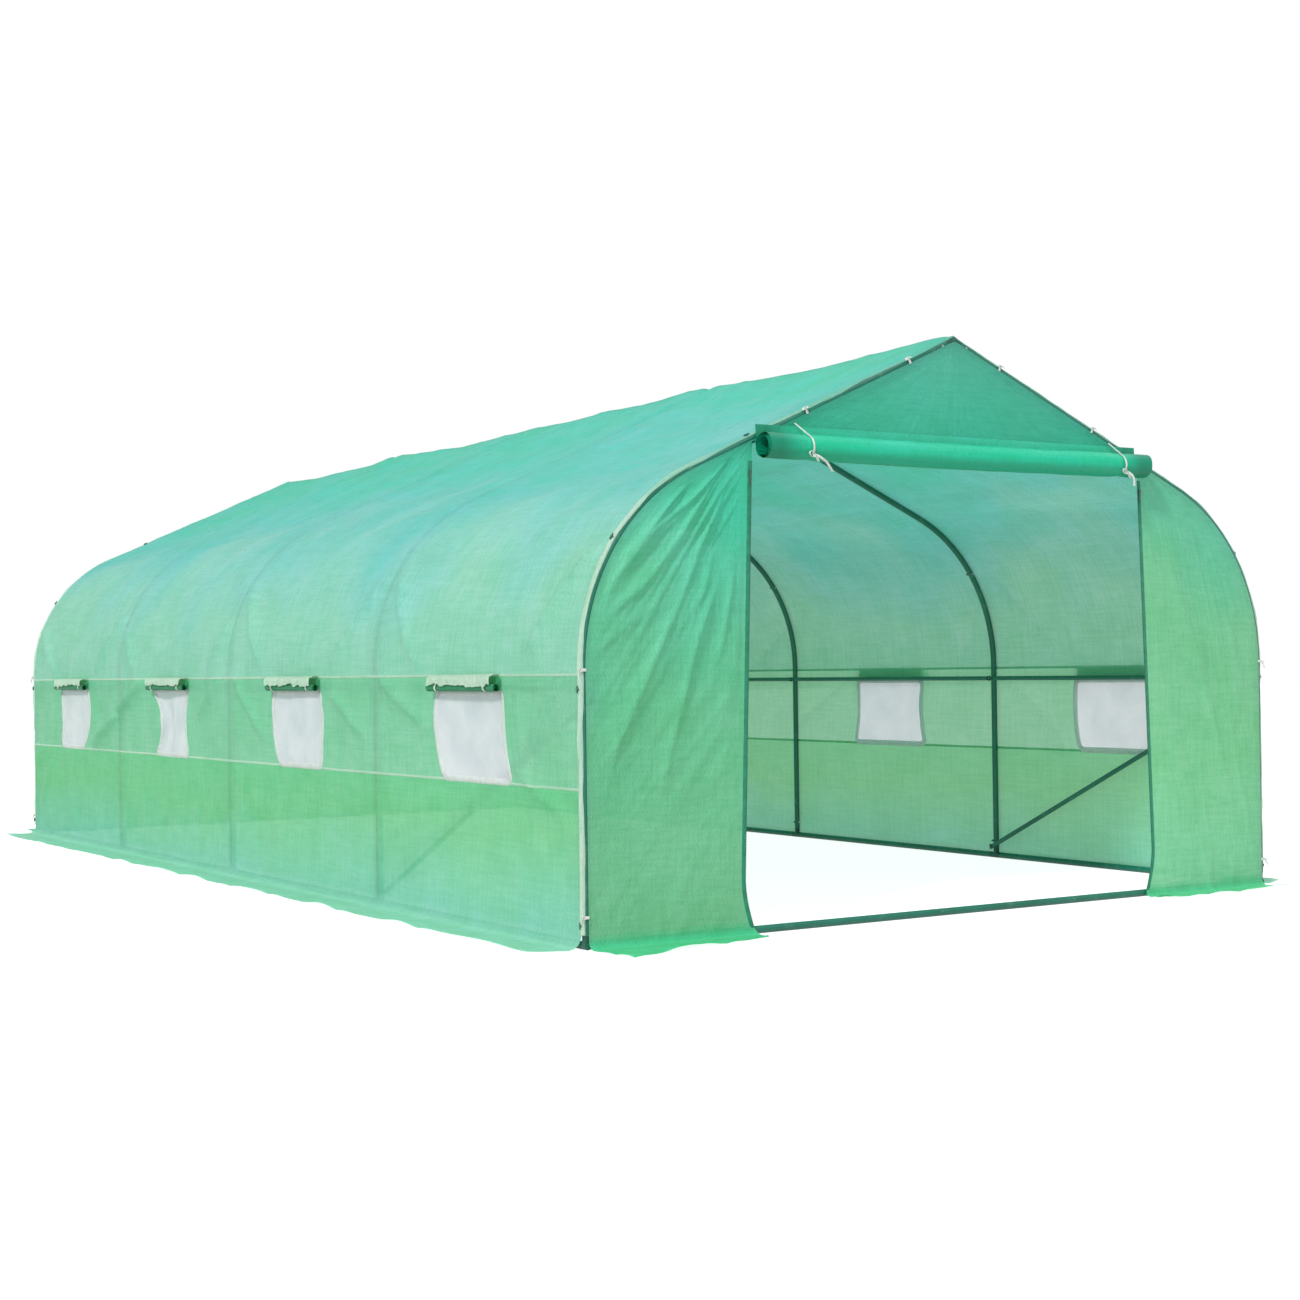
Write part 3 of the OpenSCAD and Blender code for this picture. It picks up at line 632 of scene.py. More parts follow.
def cloth(name, colours, low, high, see=0.05, through=0.41, flat=True, crinkle=0.5, axes=(0, 1), foot=None,
          shade=None):
    """Woven, coated film.

    colours run from the height low to high, with foot for what lies on the ground; the change with height is
    painted light and shade, not a change in the film. see is how much shows through the gaps, and through
    how much of the rest glows with the light behind. axes are the weave's directions. shade, when given,
    paints shade into the colour of the lit face.
    """
    g = Graph(name)
    here = g.here()
    height = g.parts(here)["Z"]
    cloud = g.noise(here, 1.3, 2.0)
    # The height ramp is painted light and shade, such as the roof's painted sky reflection; the cloud noise
    # is random tone.
    painted_light_and_tone = g.math("ADD", g.span(height, low, high), g.span(cloud, 0.3, 0.7, -0.16, 0.16), clamp=True)
    base = g.ramp(painted_light_and_tone, [(k / (len(colours) - 1), c) for k, c in enumerate(colours)])
    if foot:
        base = g.mix(g.span(height, 0.050, 0.015), base, foot)
    place = cloth_place(g, flat)
    streaks = []
    for axis in axes:
        along = [1.0 if j == axis else STREAK for j in range(3)]
        streaks.append(g.noise(g.stretched(place, *along), 5.0, 4.0, 0.65))
    base = tinted(g, g.span(g.math("ADD", *streaks), 0.80, 1.20), base, (0.76, 0.90, 0.84))
    base = tinted(g, g.span(g.noise(here, 5.5, 5.0, 0.65), 0.38, 0.62, 0.0, 0.8), base, (0.82, 0.94, 0.84))
    base = tinted(g, g.span(g.noise(place, 120, 3.0, 0.6), 0.42, 0.60, 0.0, 0.45), base, (1.18, 1.06, 1.12))
    tapes = weave_height(g, place, WEAVE_PITCH, axes)
    scrim = weave_height(g, place, SCRIM_PITCH, axes)
    base = g.mix(g.span(tapes, -1, 1, 0.0, 0.16), base, (0.95, 1.0, 0.97, 1), "SOFT_LIGHT")
    base = g.mix(g.span(scrim, 0.1, 1.0, 0.0, 0.20), base, (0.60, 0.80, 0.70, 1), "MULTIPLY")
    folds = g.noise(place, 4.5, 5.0, 0.55, 0.8, "RIDGED_MULTIFRACTAL")
    normal = g.bump(folds, 0.006, crinkle)
    normal = g.bump(g.noise(place, 26, 4.0, 0.62, 0.5), 0.005, crinkle, normal)
    normal = g.bump(g.noise(place, 90, 3.0, 0.6, 0.3), 0.0016, crinkle, normal)
    normal = g.bump(tapes, 0.0003, 0.6, normal)
    gloss = g.span(g.noise(here, 11, 3.0), 0.3, 0.7, 0.27, 0.44)
    # Painted shade, when shade is given, goes on the lit face only.
    face = shade(g, base) if shade else base
    skin = g.skin(face, gloss, normal, {"Specular IOR Level": 0.36})
    lit = g.mix(1.0, base, (1.0, 0.93, 0.78, 1), "MULTIPLY")
    glow = g.node("BsdfTranslucent", {"Color": lit, "Normal": normal}).outputs[0]
    clear = g.node("BsdfTransparent", {"Color": (0.93, 1.0, 0.97, 1)}).outputs[0]
    gap = g.span(tapes, -0.2, 1.0, see * 0.7, see * 1.4)
    return g.finish(g.either(gap, g.either(through, skin, glow), clear))


THREAD_PITCH = 0.0022


def screen_cloth():
    """Fine white insect mesh: threads with gaps between them."""
    g = Graph("insect_mesh")
    place = cloth_place(g)
    parts = g.parts(place)
    gap = g.times(*[g.math("ABSOLUTE", g.wave(parts[k], THREAD_PITCH)) for k in (0, 1)])
    base = g.mix(g.span(g.noise(place, 6.0, 3.0), 0.35, 0.65), rgb(250, 244, 252), rgb(232, 230, 240))
    skin = g.skin(base, 0.62, g.bump(gap, -0.0006, 0.8))
    glow = g.node("BsdfTranslucent", {"Color": base}).outputs[0]
    clear = g.node("BsdfTransparent", {"Color": (1, 1, 1, 1)}).outputs[0]
    return g.finish(g.either(g.span(gap, 0.25, 0.9, 0.02, 0.28), g.either(0.45, skin, glow), clear))


def door_painted_shade(g, base):
    """Painted shade: the rolled door is darker past its ties and on its underside."""
    here = g.parts(g.here())
    rolled = g.span(here["Z"], 1.42, 1.52)
    # ends and under are painted shade: darker ends past the ties and a darker underside of the roll.
    ends = g.times(g.span(g.math("ABSOLUTE", here["X"]), 0.70, 0.80, 0.0, 0.75), rolled)
    under = g.times(g.span(here["Z"], 1.572, 1.546, 0.0, 0.55), rolled)
    return g.mix(ends, g.mix(under, base, rgb(4, 150, 112)), rgb(0, 116, 84))


def ribbon(name, colour, shade, pitch, glow=0.25, rough_at=0.7):
    """Woven tape: ribs across it, a little fuzz and soiling."""
    g = Graph(name)
    place, here = cloth_place(g), g.here()
    ribs = g.wave(g.parts(place)["Y"], pitch / 2)
    base = g.mix(g.span(g.noise(here, 45, 4.0), 0.35, 0.7), colour, shade)
    base = g.mix(g.span(ribs, -1, 1, 0.0, 0.22), base, shade)
    normal = g.bump(g.noise(here, 420, 3.0), 0.0005, 0.5, g.bump(ribs, 0.0004, 0.7))
    skin = g.skin(base, rough_at, normal, {"Sheen Weight": 0.15})
    light = g.node("BsdfTranslucent", {"Color": base, "Normal": normal}).outputs[0]
    return g.finish(g.either(glow, skin, light))


def painted_tube():
    """Powder coat with a fine orange peel, duller and scuffed in patches."""
    g = Graph("powder_coat")
    here = g.here()
    scuff = g.span(g.noise(here, 26, 6.0, 0.7), 0.56, 0.70)
    dust = g.span(g.noise(here, 3.2, 4.0), 0.35, 0.75)
    base = g.mix(dust, rgb(6, 96, 76), rgb(20, 112, 92))
    base = g.mix(g.times(scuff, 0.5), base, rgb(90, 140, 124))
    normal = g.bump(g.noise(here, 520, 2.0), 0.0004, 0.35)
    gloss = g.math("ADD", g.span(scuff, 0, 1, 0.30, 0.55), g.span(dust, 0, 1, 0.0, 0.08))
    return g.finish(g.skin(base, gloss, normal, {"Coat Weight": 0.15, "Coat Roughness": 0.25}))


def moulded_plastic():
    """Dark green moulding with a matt grain and paler worn edges."""
    g = Graph("moulded_plastic")
    here = g.here()
    edge = g.span(g.node("NewGeometry").outputs["Pointiness"], 0.50, 0.62)
    base = g.mix(g.span(g.noise(here, 30, 5.0), 0.3, 0.7), rgb(6, 62, 50), rgb(12, 78, 62))
    base = g.mix(g.times(edge, 0.5), base, rgb(60, 120, 100))
    gloss = g.span(g.noise(here, 60, 3.0), 0.3, 0.7, 0.38, 0.55)
    return g.finish(g.skin(base, gloss, g.bump(g.noise(here, 900, 2.0), 0.0003, 0.5)))


def plated_metal(name, colour, dull):
    """Zinc plate: a cloudy bright metal, duller in blotches."""
    g = Graph(name)
    here = g.here()
    blotch = g.span(g.noise(here, 180, 4.0), 0.35, 0.7)
    normal = g.bump(g.noise(here, 1400, 2.0), 0.0001, 0.4)
    gloss = g.span(blotch, 0, 1, 0.25, 0.48)
    return g.finish(g.skin(g.mix(blotch, colour, dull), gloss, normal, {"Metallic": 1.0}))


# The roof turns turquoise towards the top: a painted sky reflection.
ROOF = cloth("roof_film", [rgb(156, 218, 198), rgb(154, 216, 198), rgb(142, 212, 208), rgb(110, 206, 208),
                           rgb(86, 208, 198), rgb(76, 208, 186)], 0.85, 2.0, see=0.03)
BAND = cloth("band_film", [rgb(150, 218, 184), rgb(140, 218, 182)], 0.45, 0.90, see=0.085, through=0.46)
WALL = cloth("wall_film", [rgb(142, 222, 210), rgb(130, 216, 180), rgb(128, 214, 158), rgb(122, 214, 160)],
             -0.02, 0.50, see=0.065, through=0.46, foot=rgb(150, 228, 206))
# PANEL is for the front left panel and the rear wall, SIDE_PANEL for the front right panel
PANEL = cloth("panel_film", [rgb(130, 206, 162), rgb(122, 208, 164), rgb(112, 214, 184), rgb(66, 214, 184)],
              0.0, 1.7, see=0.03, crinkle=0.7, foot=rgb(84, 216, 160))
SIDE_PANEL = cloth("side_panel_film", [rgb(150, 226, 184), rgb(146, 222, 172), rgb(142, 218, 172),
                                       rgb(118, 218, 190)], 0.0, 1.7,
                   see=0.04, crinkle=0.6, foot=rgb(96, 216, 160))
GABLE = cloth("gable_film", [rgb(66, 196, 170), rgb(104, 204, 186)], 1.6, 2.0, see=0.03)
# The door's colours are paler over the top of the roll and darker under it: painted light and shade.
DOOR = cloth("door_film", [rgb(12, 186, 142), rgb(24, 196, 154), rgb(66, 196, 170)], 1.48, 1.66, see=0.0,
             through=0.12, flat=False, axes=(0, 2), shade=door_painted_shade)
# The flap film is darker than the wall film: painted shade for the roll under its frill.
SHADED_FLAP = cloth("flap_film", [rgb(44, 150, 106), rgb(54, 160, 114)], 0.4, 0.9, see=0.0, through=0.45, flat=False,
             axes=(1, 2))
FRILL = cloth("frill_film", [rgb(222, 248, 230), rgb(232, 250, 238)], 0.7, 0.9, see=0.02)
HEM = cloth("hem_film", [rgb(226, 246, 228), rgb(206, 242, 220), rgb(214, 242, 224), rgb(110, 208, 188)],
            0.0, 1.7, see=0.0, through=0.30)
MESH = screen_cloth()
BINDING = ribbon("white_binding", rgb(250, 250, 250), rgb(232, 236, 236), 0.0022, glow=0.5)
CORD = ribbon("white_tape", rgb(244, 248, 244), rgb(214, 226, 218), 0.0018)
ZIP_TAPE = ribbon("zip_tape", rgb(40, 160, 122), rgb(24, 136, 102), 0.0016, glow=0.2)
TEETH = ribbon("zip_teeth", rgb(14, 104, 80), rgb(10, 84, 64), 0.0030, glow=0.0, rough_at=0.4)
TUBE = painted_tube()
MOULDING = moulded_plastic()
ZINC = plated_metal("zinc_plate", rgb(198, 203, 206), rgb(158, 165, 168))
SLIDER = plated_metal("slider_metal", rgb(112, 140, 130), rgb(72, 100, 90))


def dress(piece, material, body="greenhouse", stands_in=True):
    """Gives a piece its material, slot and body. stands_in: it replaces the CAD node of its name."""
    piece.data.materials.append(material)
    if body:
        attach(piece, body)
    if stands_in:
        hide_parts(piece.name.removesuffix("_look"))


# ---- Free tails of the door ties ----

TAPE_W = 0.008
TAPE_T = 0.0024
TIE_XS = {"left": -0.680, "right": 0.720}
TAILS = {
    "left": [(-0.674, -3.108, 1.549), (-0.664, -3.113, 1.543), (-0.653, -3.116, 1.536),
             (-0.642, -3.116, 1.529), (-0.632, -3.114, 1.521), (-0.623, -3.112, 1.512),
             (-0.615, -3.110, 1.504), (-0.609, -3.109, 1.497)],
    "right": [(0.726, -3.108, 1.549), (0.735, -3.113, 1.542), (0.743, -3.115, 1.533),
              (0.749, -3.114, 1.522), (0.752, -3.112, 1.510), (0.753, -3.110, 1.499)],
}


def tie_tail(side):
    """The loose end of a tie, a flat tape that hangs from the knot and turns edge on."""
    route = smooth_route(TAILS[side], 4)
    twist = np.linspace(0.2, 1.1, len(route))[:, None]
    across = np.cos(twist) * [[0.75, 0, 0.66]] + np.sin(twist) * [[0, -1.0, 0]]
    tail = link_mesh(f"door_tie_tail_{side}", *swept(route, oval(TAPE_W, TAPE_T), across))
    dress(tail, CORD, "door")
    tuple(TAILS[side][0])


for side in SIDES:
    tie_tail(side)


# ---- Side cover ----

WINDOW_STOPS = [s for k in range(BAYS) for s in (bay_y(k) - WINDOW_HALF, bay_y(k) + WINDOW_HALF)]
COVER_YS = lines([-COVER_HALF_L, *WINDOW_STOPS, COVER_HALF_L], 0.018)
T_HIGH = P_GROUND - HIGH_SEAM
T_LOW = P_GROUND - LOW_SEAM


def make_roof():
    ts = lines([-T_HIGH, -P_LEG, -RAFTER_L, 0, RAFTER_L, P_LEG, T_HIGH], 0.024)
    roof = sheet_mesh("roof_cover", ts, COVER_YS, on_cover)
    dress(roof, ROOF)


def in_window(t, y):
    """Whether a place on the cover is in one of the window openings."""
    up = P_GROUND - np.abs(t)
    return (np.abs((y + HALF_L) % BAY_L - BAY_L / 2) < WINDOW_HALF) & (up > WINDOW_LOW) & (up < WINDOW_HIGH)


def make_wall(name, side):
    """One side's window band and, below it, the lower wall with its skirt."""
    ts = lines([P_GROUND - z for z in (HIGH_SEAM, WINDOW_HIGH, WINDOW_LOW, LOW_SEAM)], 0.016)
    band = sheet_mesh(f"{name}_window_band", ts, COVER_YS, lambda t, y: on_cover(side * t, y),
                      keep=lambda t, y: ~in_window(t, y))
    dress(band, BAND)
    tall, long = HIGH_SEAM - LOW_SEAM, 2 * COVER_HALF_L
    metres(tall, long)
    ts = lines([T_LOW, P_TURN, P_FLAT, P_SKIRT], 0.018)
    wall = sheet_mesh(f"{name}_lower_wall", ts, COVER_YS, lambda t, y: on_cover(side * t, y))
    dress(wall, WALL)
    metres(P_SKIRT - T_LOW, long)


# A raised, doubled strip of cloth: places across it, and its height over the cloth at each
STRIP_AT = (0.0, 0.10, 0.5, 0.90, 1.0)
STRIP_UP = (-0.0003, 0.0010, 0.0016, 0.0010, -0.0003)
SEAM_W = 0.010


def make_seams(name, side):
    for height, label in ((HIGH_SEAM, "high"), (LOW_SEAM, "low")):
        top = P_GROUND - height - SEAM_W / 2

        def place(share, y):
            return on_cover(side * (top + SEAM_W * share), y, np.interp(share, STRIP_AT, STRIP_UP))

        seam = sheet_mesh(f"{name}_{label}_seam", STRIP_AT, COVER_YS, place)
        dress(seam, HEM, stands_in=False)


HEM_W = 0.010
HEM_WRAP = math.radians(52)


def make_hems(name, side):
    """The cover's doubled edges, wrapped round the front of the end hoops and puckered by their stitching."""
    for end, label in ((FRONT, "front"), (REAR, "rear")):

        def place(share, t):
            pucker = 0.0036 * np.abs(rough(t * 9 + 4 * side, share * 2 + 10 * end, 2))
            pucker += 0.0030 * step(t, RAFTER_L, P_LEG) * np.abs(noise(t * 5.5 + side, share * 0 + 31 * end))
            ragged = 1 + 0.34 * rough(t * 5 + 20 * side, share * 0 + 3 * end, 3)
            off = COVER_OFF + np.interp(share, STRIP_AT, STRIP_UP) + pucker * np.sin(math.pi * share)
            turn = np.maximum(0.5 - share, 0) * 2 * HEM_WRAP * ragged
            back = np.maximum(share - 0.5, 0) * 2 * HEM_W * (2 - ragged)
            y = end * (HALF_L + off * np.sin(turn) - back)
            return on_cover(side * t, y, off * np.cos(turn) - COVER_OFF)

        ts = lines([0.002, RAFTER_L, P_LEG, P_TURN], 0.014)
        hem = sheet_mesh(f"{name}_{label}_hem", np.linspace(0, 1, 13), ts, place)
        dress(hem, HEM, stands_in=False)


make_roof()
for name, side in SIDES.items():
    make_wall(name, side)
    make_seams(name, side)
    make_hems(name, side)


# ---- Windows ----

# The binding's reach into the opening and out over the cloth, and its section: places across it, its height
BORDER_IN = 0.006
BORDER_OUT = 0.018
BORDER_AT = np.array([0.0, 0.12, 0.35, 0.65, 0.88, 1.0])
BORDER_UP = np.array([-0.0006, 0.0026, 0.0040, 0.0038, 0.0022, -0.0004])
BORDER_CORNER = 0.022
BORDER_STEP = 0.012


def screen_part(side, k):
    """The mesh in one window, tucked under its border."""
    tuck = 0.004
    ts = np.linspace(P_GROUND - WINDOW_HIGH - tuck, P_GROUND - WINDOW_LOW + tuck, 22)
    ys = np.linspace(bay_y(k) - WINDOW_HALF - tuck, bay_y(k) + WINDOW_HALF + tuck, 34)
    return grid(ts, ys, lambda t, y: on_cover(side * t, y, -0.0012 + 0.0015 * rough(y * 8, t * 8 + side, 2)))


def border_part(side, k, face):
    """The white binding round one window: a closed loop with a puffed section, its corners rounded.

    face is 1 for the outside of the cloth and -1 for the inside.
    """
    middle = np.array([bay_y(k), P_GROUND - (WINDOW_HIGH + WINDOW_LOW) / 2])
    corner_at = np.array([WINDOW_HALF, (WINDOW_HIGH - WINDOW_LOW) / 2]) - BORDER_CORNER
    loop, outward = [], []
    for quarter, signs in enumerate(((1, -1), (1, 1), (-1, 1), (-1, -1))):
        for turn in np.linspace(0, math.pi / 2, 7):
            angle = (quarter - 1) * math.pi / 2 + turn
            way = np.array([math.cos(angle), math.sin(angle)])
            loop.append(middle + np.array(signs) * corner_at + BORDER_CORNER * way)
            outward.append(way)
    loop, outward = densified(loop, outward, BORDER_STEP)
    n, m = len(loop), len(BORDER_AT)
    u, v = np.meshgrid(np.arange(n), np.arange(m), indexing="ij")
    off = -BORDER_IN + (BORDER_IN + BORDER_OUT) * BORDER_AT[v]
    pucker = np.clip(1 + 0.35 * rough(u * 0.21 + k, side * 3.0 + v * 0, 2), 0.5, 1.1)
    y, t = loop[u, 0] + outward[u, 0] * off, loop[u, 1] + outward[u, 1] * off
    points = np.stack(on_cover(side * t, y, face * BORDER_UP[v] * pucker - (1 - face) * 0.0012), axis=-1)
    flat = np.stack([off, u * BORDER_STEP, u * 0], axis=-1).reshape(-1, 3)
    faces = [[i * m + j, (i + 1) % n * m + j, (i + 1) % n * m + j + 1, i * m + j + 1]
             for i in range(n) for j in range(m - 1)]
    return points.reshape(-1, 3), faces, flat


def densified(loop, outward, gap):
    """A closed loop with points at most gap apart, and the outward direction at each."""
    points, ways = [], []
    for a, b, way_a, way_b in zip(loop, [*loop[1:], loop[0]], outward, [*outward[1:], outward[0]]):
        steps = max(1, math.ceil(np.linalg.norm(b - a) / gap))
        for s in np.arange(steps) / steps:
            points.append(a + (b - a) * s)
            ways.append(unit(way_a + (way_b - way_a) * s))
    return np.array(points), np.array(ways)


def make_windows(name, side):
    screens = joined(f"{name}_window_screens", [screen_part(side, k) for k in range(BAYS)])
    dress(screens, MESH)
    parts = [border_part(side, k, face) for k in range(BAYS) for face in (1, -1)]
    borders = joined(f"{name}_window_borders", parts)
    dress(borders, BINDING)


for name, side in SIDES.items():
    make_windows(name, side)


# ---- End panels ----

# How far each skirt reaches out over the ground: (place from the doorway to the hoop, reach)
LEFT_SKIRT = [(0.0, 0.086), (0.5, 0.160), (1.0, 0.246)]
RIGHT_SKIRT = [(0.0, 0.092), (1.0, 0.108)]
SKIRT_TURN = 0.030
TURN_L = SKIRT_TURN * math.pi / 2


def turned_out(down, top):
    """A panel's way from its top down to the ground and out along it.

    Gives the height, how far the turn has carried it out, how far it is past the turn, and its rise.
    """
    past = np.maximum(down - (top - SKIRT_TURN), 0)
    turn = np.clip(past / SKIRT_TURN, 0, math.pi / 2)
    z = np.maximum(top - down, SKIRT_TURN) - SKIRT_TURN * np.sin(turn)
    return z, SKIRT_TURN * (1 - np.cos(turn)), np.maximum(past - TURN_L, 0), past > 0


def end_panel(name, side, folds, material, skirt, spread):
    """A door side panel: a wall between doorway and hoop that turns out at the ground into its skirt.

    spread is how far the skirt's edge moves out sideways at the doorway and at the hoop.
    """
    top = GABLE_Z - 0.004
    flat_l = 0.2

    def place(share, down):
        z, turned, past, low = turned_out(down, top)
        run = past / flat_l
        x = door_x(z) + (hoop_x(z) - door_x(z)) * share
        _, y, _ = on_end(FRONT, folds, side * x, z)
        reach = np.interp(share, *zip(*skirt)) - SKIRT_TURN
        reach = reach * (0.96 + 0.05 * noise(share * 5 + 3 * side, share * 0 + 2))
        x = x + run * (spread[0] * (1 - share) + spread[1] * share)
        lift = CLOTH_T + step(run, 0, 0.5) * 0.012 * np.abs(rough(x * 5 + side, run * 1.2, 2))
        return side * x, y - turned - reach * run, z + np.where(low, lift, 0)

    wall_end = top - SKIRT_TURN
    downs = np.concatenate([lines([0, wall_end], 0.012), wall_end + lines([0, TURN_L], 0.008)[1:],
                            wall_end + TURN_L + np.linspace(0, flat_l, 12)[1:]])
    panel = sheet_mesh(name, np.linspace(0, 1, 70), downs, place)
    dress(panel, material)
    zs = np.linspace(0, top, 200)
    reaches = [reach for _, reach in skirt]
    area = area_under(np.maximum(hoop_x(zs) - door_x(zs), 0), zs) + np.mean(reaches) * 0.62


def gable(name, end):
    low, high = GABLE_Z - 0.006, RIDGE_Z - 0.006

    def place(share, z):
        return on_end(end, "gable", share * hoop_x(z), z)

    piece = sheet_mesh(name, np.linspace(-1, 1, 90), lines([low, high], 0.012), place)
    dress(piece, GABLE)
    wide = 2 * float(hoop_x(np.array(low)))


def rear_wall():
    top = GABLE_Z + 0.010
    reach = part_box("rear_wall")[1].y - END_Y - SKIRT_TURN

    def place(share, down):
        z, turned, run, low = turned_out(down, top)
        x = share * hoop_x(z)
        _, y, _ = on_end(REAR, "rear", x, z, -0.001)
        lift = CLOTH_T + step(run, 0, 0.1) * 0.012 * np.abs(rough(x * 3.5, run * 4, 2))
        return x, y + turned + run * (0.95 + 0.05 * noise(x * 2.5, x * 0)), z + np.where(low, lift, 0)

    wall_end = top - SKIRT_TURN
    downs = lines([0, wall_end, wall_end + TURN_L, wall_end + TURN_L + reach], 0.017)
    wall = sheet_mesh("rear_wall", np.linspace(-1, 1, 170), downs, place)
    dress(wall, PANEL)
    zs = np.linspace(0, top, 200)
    area = 2 * area_under(hoop_x(zs), zs) + 2 * HALF_W * reach


end_panel("front_left_panel", LEFT, "front_left", PANEL, LEFT_SKIRT, (0.008, -0.018))
end_panel("front_right_panel", RIGHT, "front_right", SIDE_PANEL, RIGHT_SKIRT, (0.012, 0.062))
gable("front_gable", FRONT)
gable("rear_gable", REAR)
rear_wall()


# ---- Doorway zips ----

ZIP_W = 0.016
ZIP_TOP = zip_high.z


def zip_part(side):
    """The tape of one zip, beside the doorway's edge."""
    folds = "front_left" if side == LEFT else "front_right"

    def place(share, z):
        lift = 0.0002 + 0.7 * np.interp(share, STRIP_AT, STRIP_UP)
        return on_end(FRONT, folds, side * (door_x(z) + ZIP_W * share), z, lift)

    return grid(np.linspace(0, 1, 7), lines([0.004, DOOR_WIDE_Z, ZIP_TOP], 0.014), place)


def teeth_part(side):
    """Square teeth, one every few millimetres up the edge of the doorway."""
    pitch, long, tall, thick = 0.005, 0.0040, 0.0026, 0.0022
    zs = np.arange(0.012, ZIP_TOP, pitch)
    box = np.array([[x, y, z] for x in (-0.5, 0.5) for y in (-0.5, 0.5) for z in (-0.5, 0.5)])
    quads = np.array([[0, 1, 3, 2], [4, 6, 7, 5], [0, 4, 5, 1], [2, 3, 7, 6], [0, 2, 6, 4], [1, 5, 7, 3]])
    centres = np.stack([side * (door_x(zs) + 0.001), np.full_like(zs, -END_Y - 0.0002), zs], axis=1)
    points = (centres[:, None] + box[None] * [long, thick, tall]).reshape(-1, 3)
    faces = (quads[None] + 8 * np.arange(len(zs))[:, None, None]).reshape(-1, 4)
    return points, faces, points


dress(joined("door_zips", [zip_part(LEFT), zip_part(RIGHT)]), ZIP_TAPE)
teeth = joined("door_zip_teeth", [teeth_part(LEFT), teeth_part(RIGHT)])
dress(teeth, TEETH, stands_in=False)


# ---- Rolled door ----

def spiral(turns, outer, inner, steps):
    """Angles and radii of a roll from its outside in."""
    angles = np.linspace(0, 2 * math.pi * turns, int(turns * steps) + 1)
    return angles, outer + (inner - outer) * angles / angles[-1]


def uneven(angle, along, scale, seed):
    """Noise that closes up round a roll."""
    one = noise(1.3 * np.cos(angle) + seed, along * scale)
    return (one + noise(1.3 * np.sin(angle) + seed + 31, along * scale + 9)) / 2


DOOR_TURNS = 7.1
DOOR_CORE = 0.030
DOOR_SAG = 0.004
TIE_PINCH = 0.0035


def make_door_roll():
    """The door rolled up outward, with its spiral showing at both ends."""
    angles, radii = spiral(DOOR_TURNS, ROLL_R - 0.0006, DOOR_CORE, 34)
    xs = lines([-ROLL_HALF, -ROLL_HALF + 0.05, ROLL_HALF - 0.05, ROLL_HALF], 0.022)

    def place(angle, x):
        dent = 0.0022 * uneven(angle, x, 3.2, 4) + 0.0012 * uneven(angle, x, 11, 50)
        dent = dent + 0.0007 * uneven(angle * 3, x, 30, 80)
        for tie in TIE_XS.values():
            dent = dent - TIE_PINCH * np.exp(-(((x - tie) / 0.022) ** 2))
        radius = np.interp(angle, angles, radii) * (1 + dent / ROLL_R)
        push = 0.006 * noise(angle * 0.45 + 3, x * 0 + np.sign(x))
        push = push * step(np.abs(x), ROLL_HALF - 0.05, ROLL_HALF)
        z = ROLL_AT[1] - radius * np.sin(angle) * 1.03 - DOOR_SAG * (1 - (x / ROLL_HALF) ** 2)
        return x + push, ROLL_AT[0] + radius * np.cos(angle), z

    roll = sheet_mesh("door_curtain", angles, xs, place)
    dress(roll, DOOR, "door")
    metres(2 * ROLL_HALF, area_under(radii, angles))


def make_door_strip():
    """The top of the door, from its seam under the gable to the roll. It pays out as the door comes down."""
    seam_y, back_y = -END_Y - 0.0012, ROLL_AT[0] + ROLL_R - 0.0010

    def place(share, x):
        ripple = 0.0006 * rough(x * 9, share * 3, 2) * np.sin(math.pi * share)
        sag = DOOR_SAG * (1 - (x / ROLL_HALF) ** 2) * share
        y = seam_y + (back_y - seam_y) * share + ripple
        return x, y, CURTAIN_TOP + (ROLL_AT[1] - CURTAIN_TOP) * share - sag

    strip = sheet_mesh("door_strip", np.linspace(0, 1, 60), lines([-ROLL_HALF, ROLL_HALF], 0.03), place)
    dress(strip, DOOR, None, stands_in=False)
    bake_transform(strip)


make_door_roll()
make_door_strip()


# ---- Ties over the rolled door ----

KNOT_ANGLE = math.radians(215)
KNOT_REACH = 0.0505


def knot_part(at, size):
    """A small overhand knot: one turn and a half of tape wound on itself."""
    turn = np.linspace(0, 3 * math.pi, 26)
    route = np.stack([at[0] + size * 0.55 * np.cos(turn), at[1] + size * 0.45 * np.sin(turn + 0.6),
                      at[2] + size * 0.6 * np.sin(turn)], axis=1)
    return swept(route, oval(size * 0.75, size * 0.45), (0.3, 1.0, 0.2))


def loop_part(at, reach, drop, lean):
    """A bow's loop of tape beside the knot."""
    turn = np.linspace(0, 2 * math.pi, 22)
    out = (1 - np.cos(turn)) / 2
    route = np.stack([at[0] + reach * out, at[1] - 0.004 - 0.004 * np.sin(turn / 2),
                      at[2] + drop * out + lean * np.sin(turn)], axis=1)
    return swept(route, oval(TAPE_W * 0.7, TAPE_T), (0, 1, 0.2))


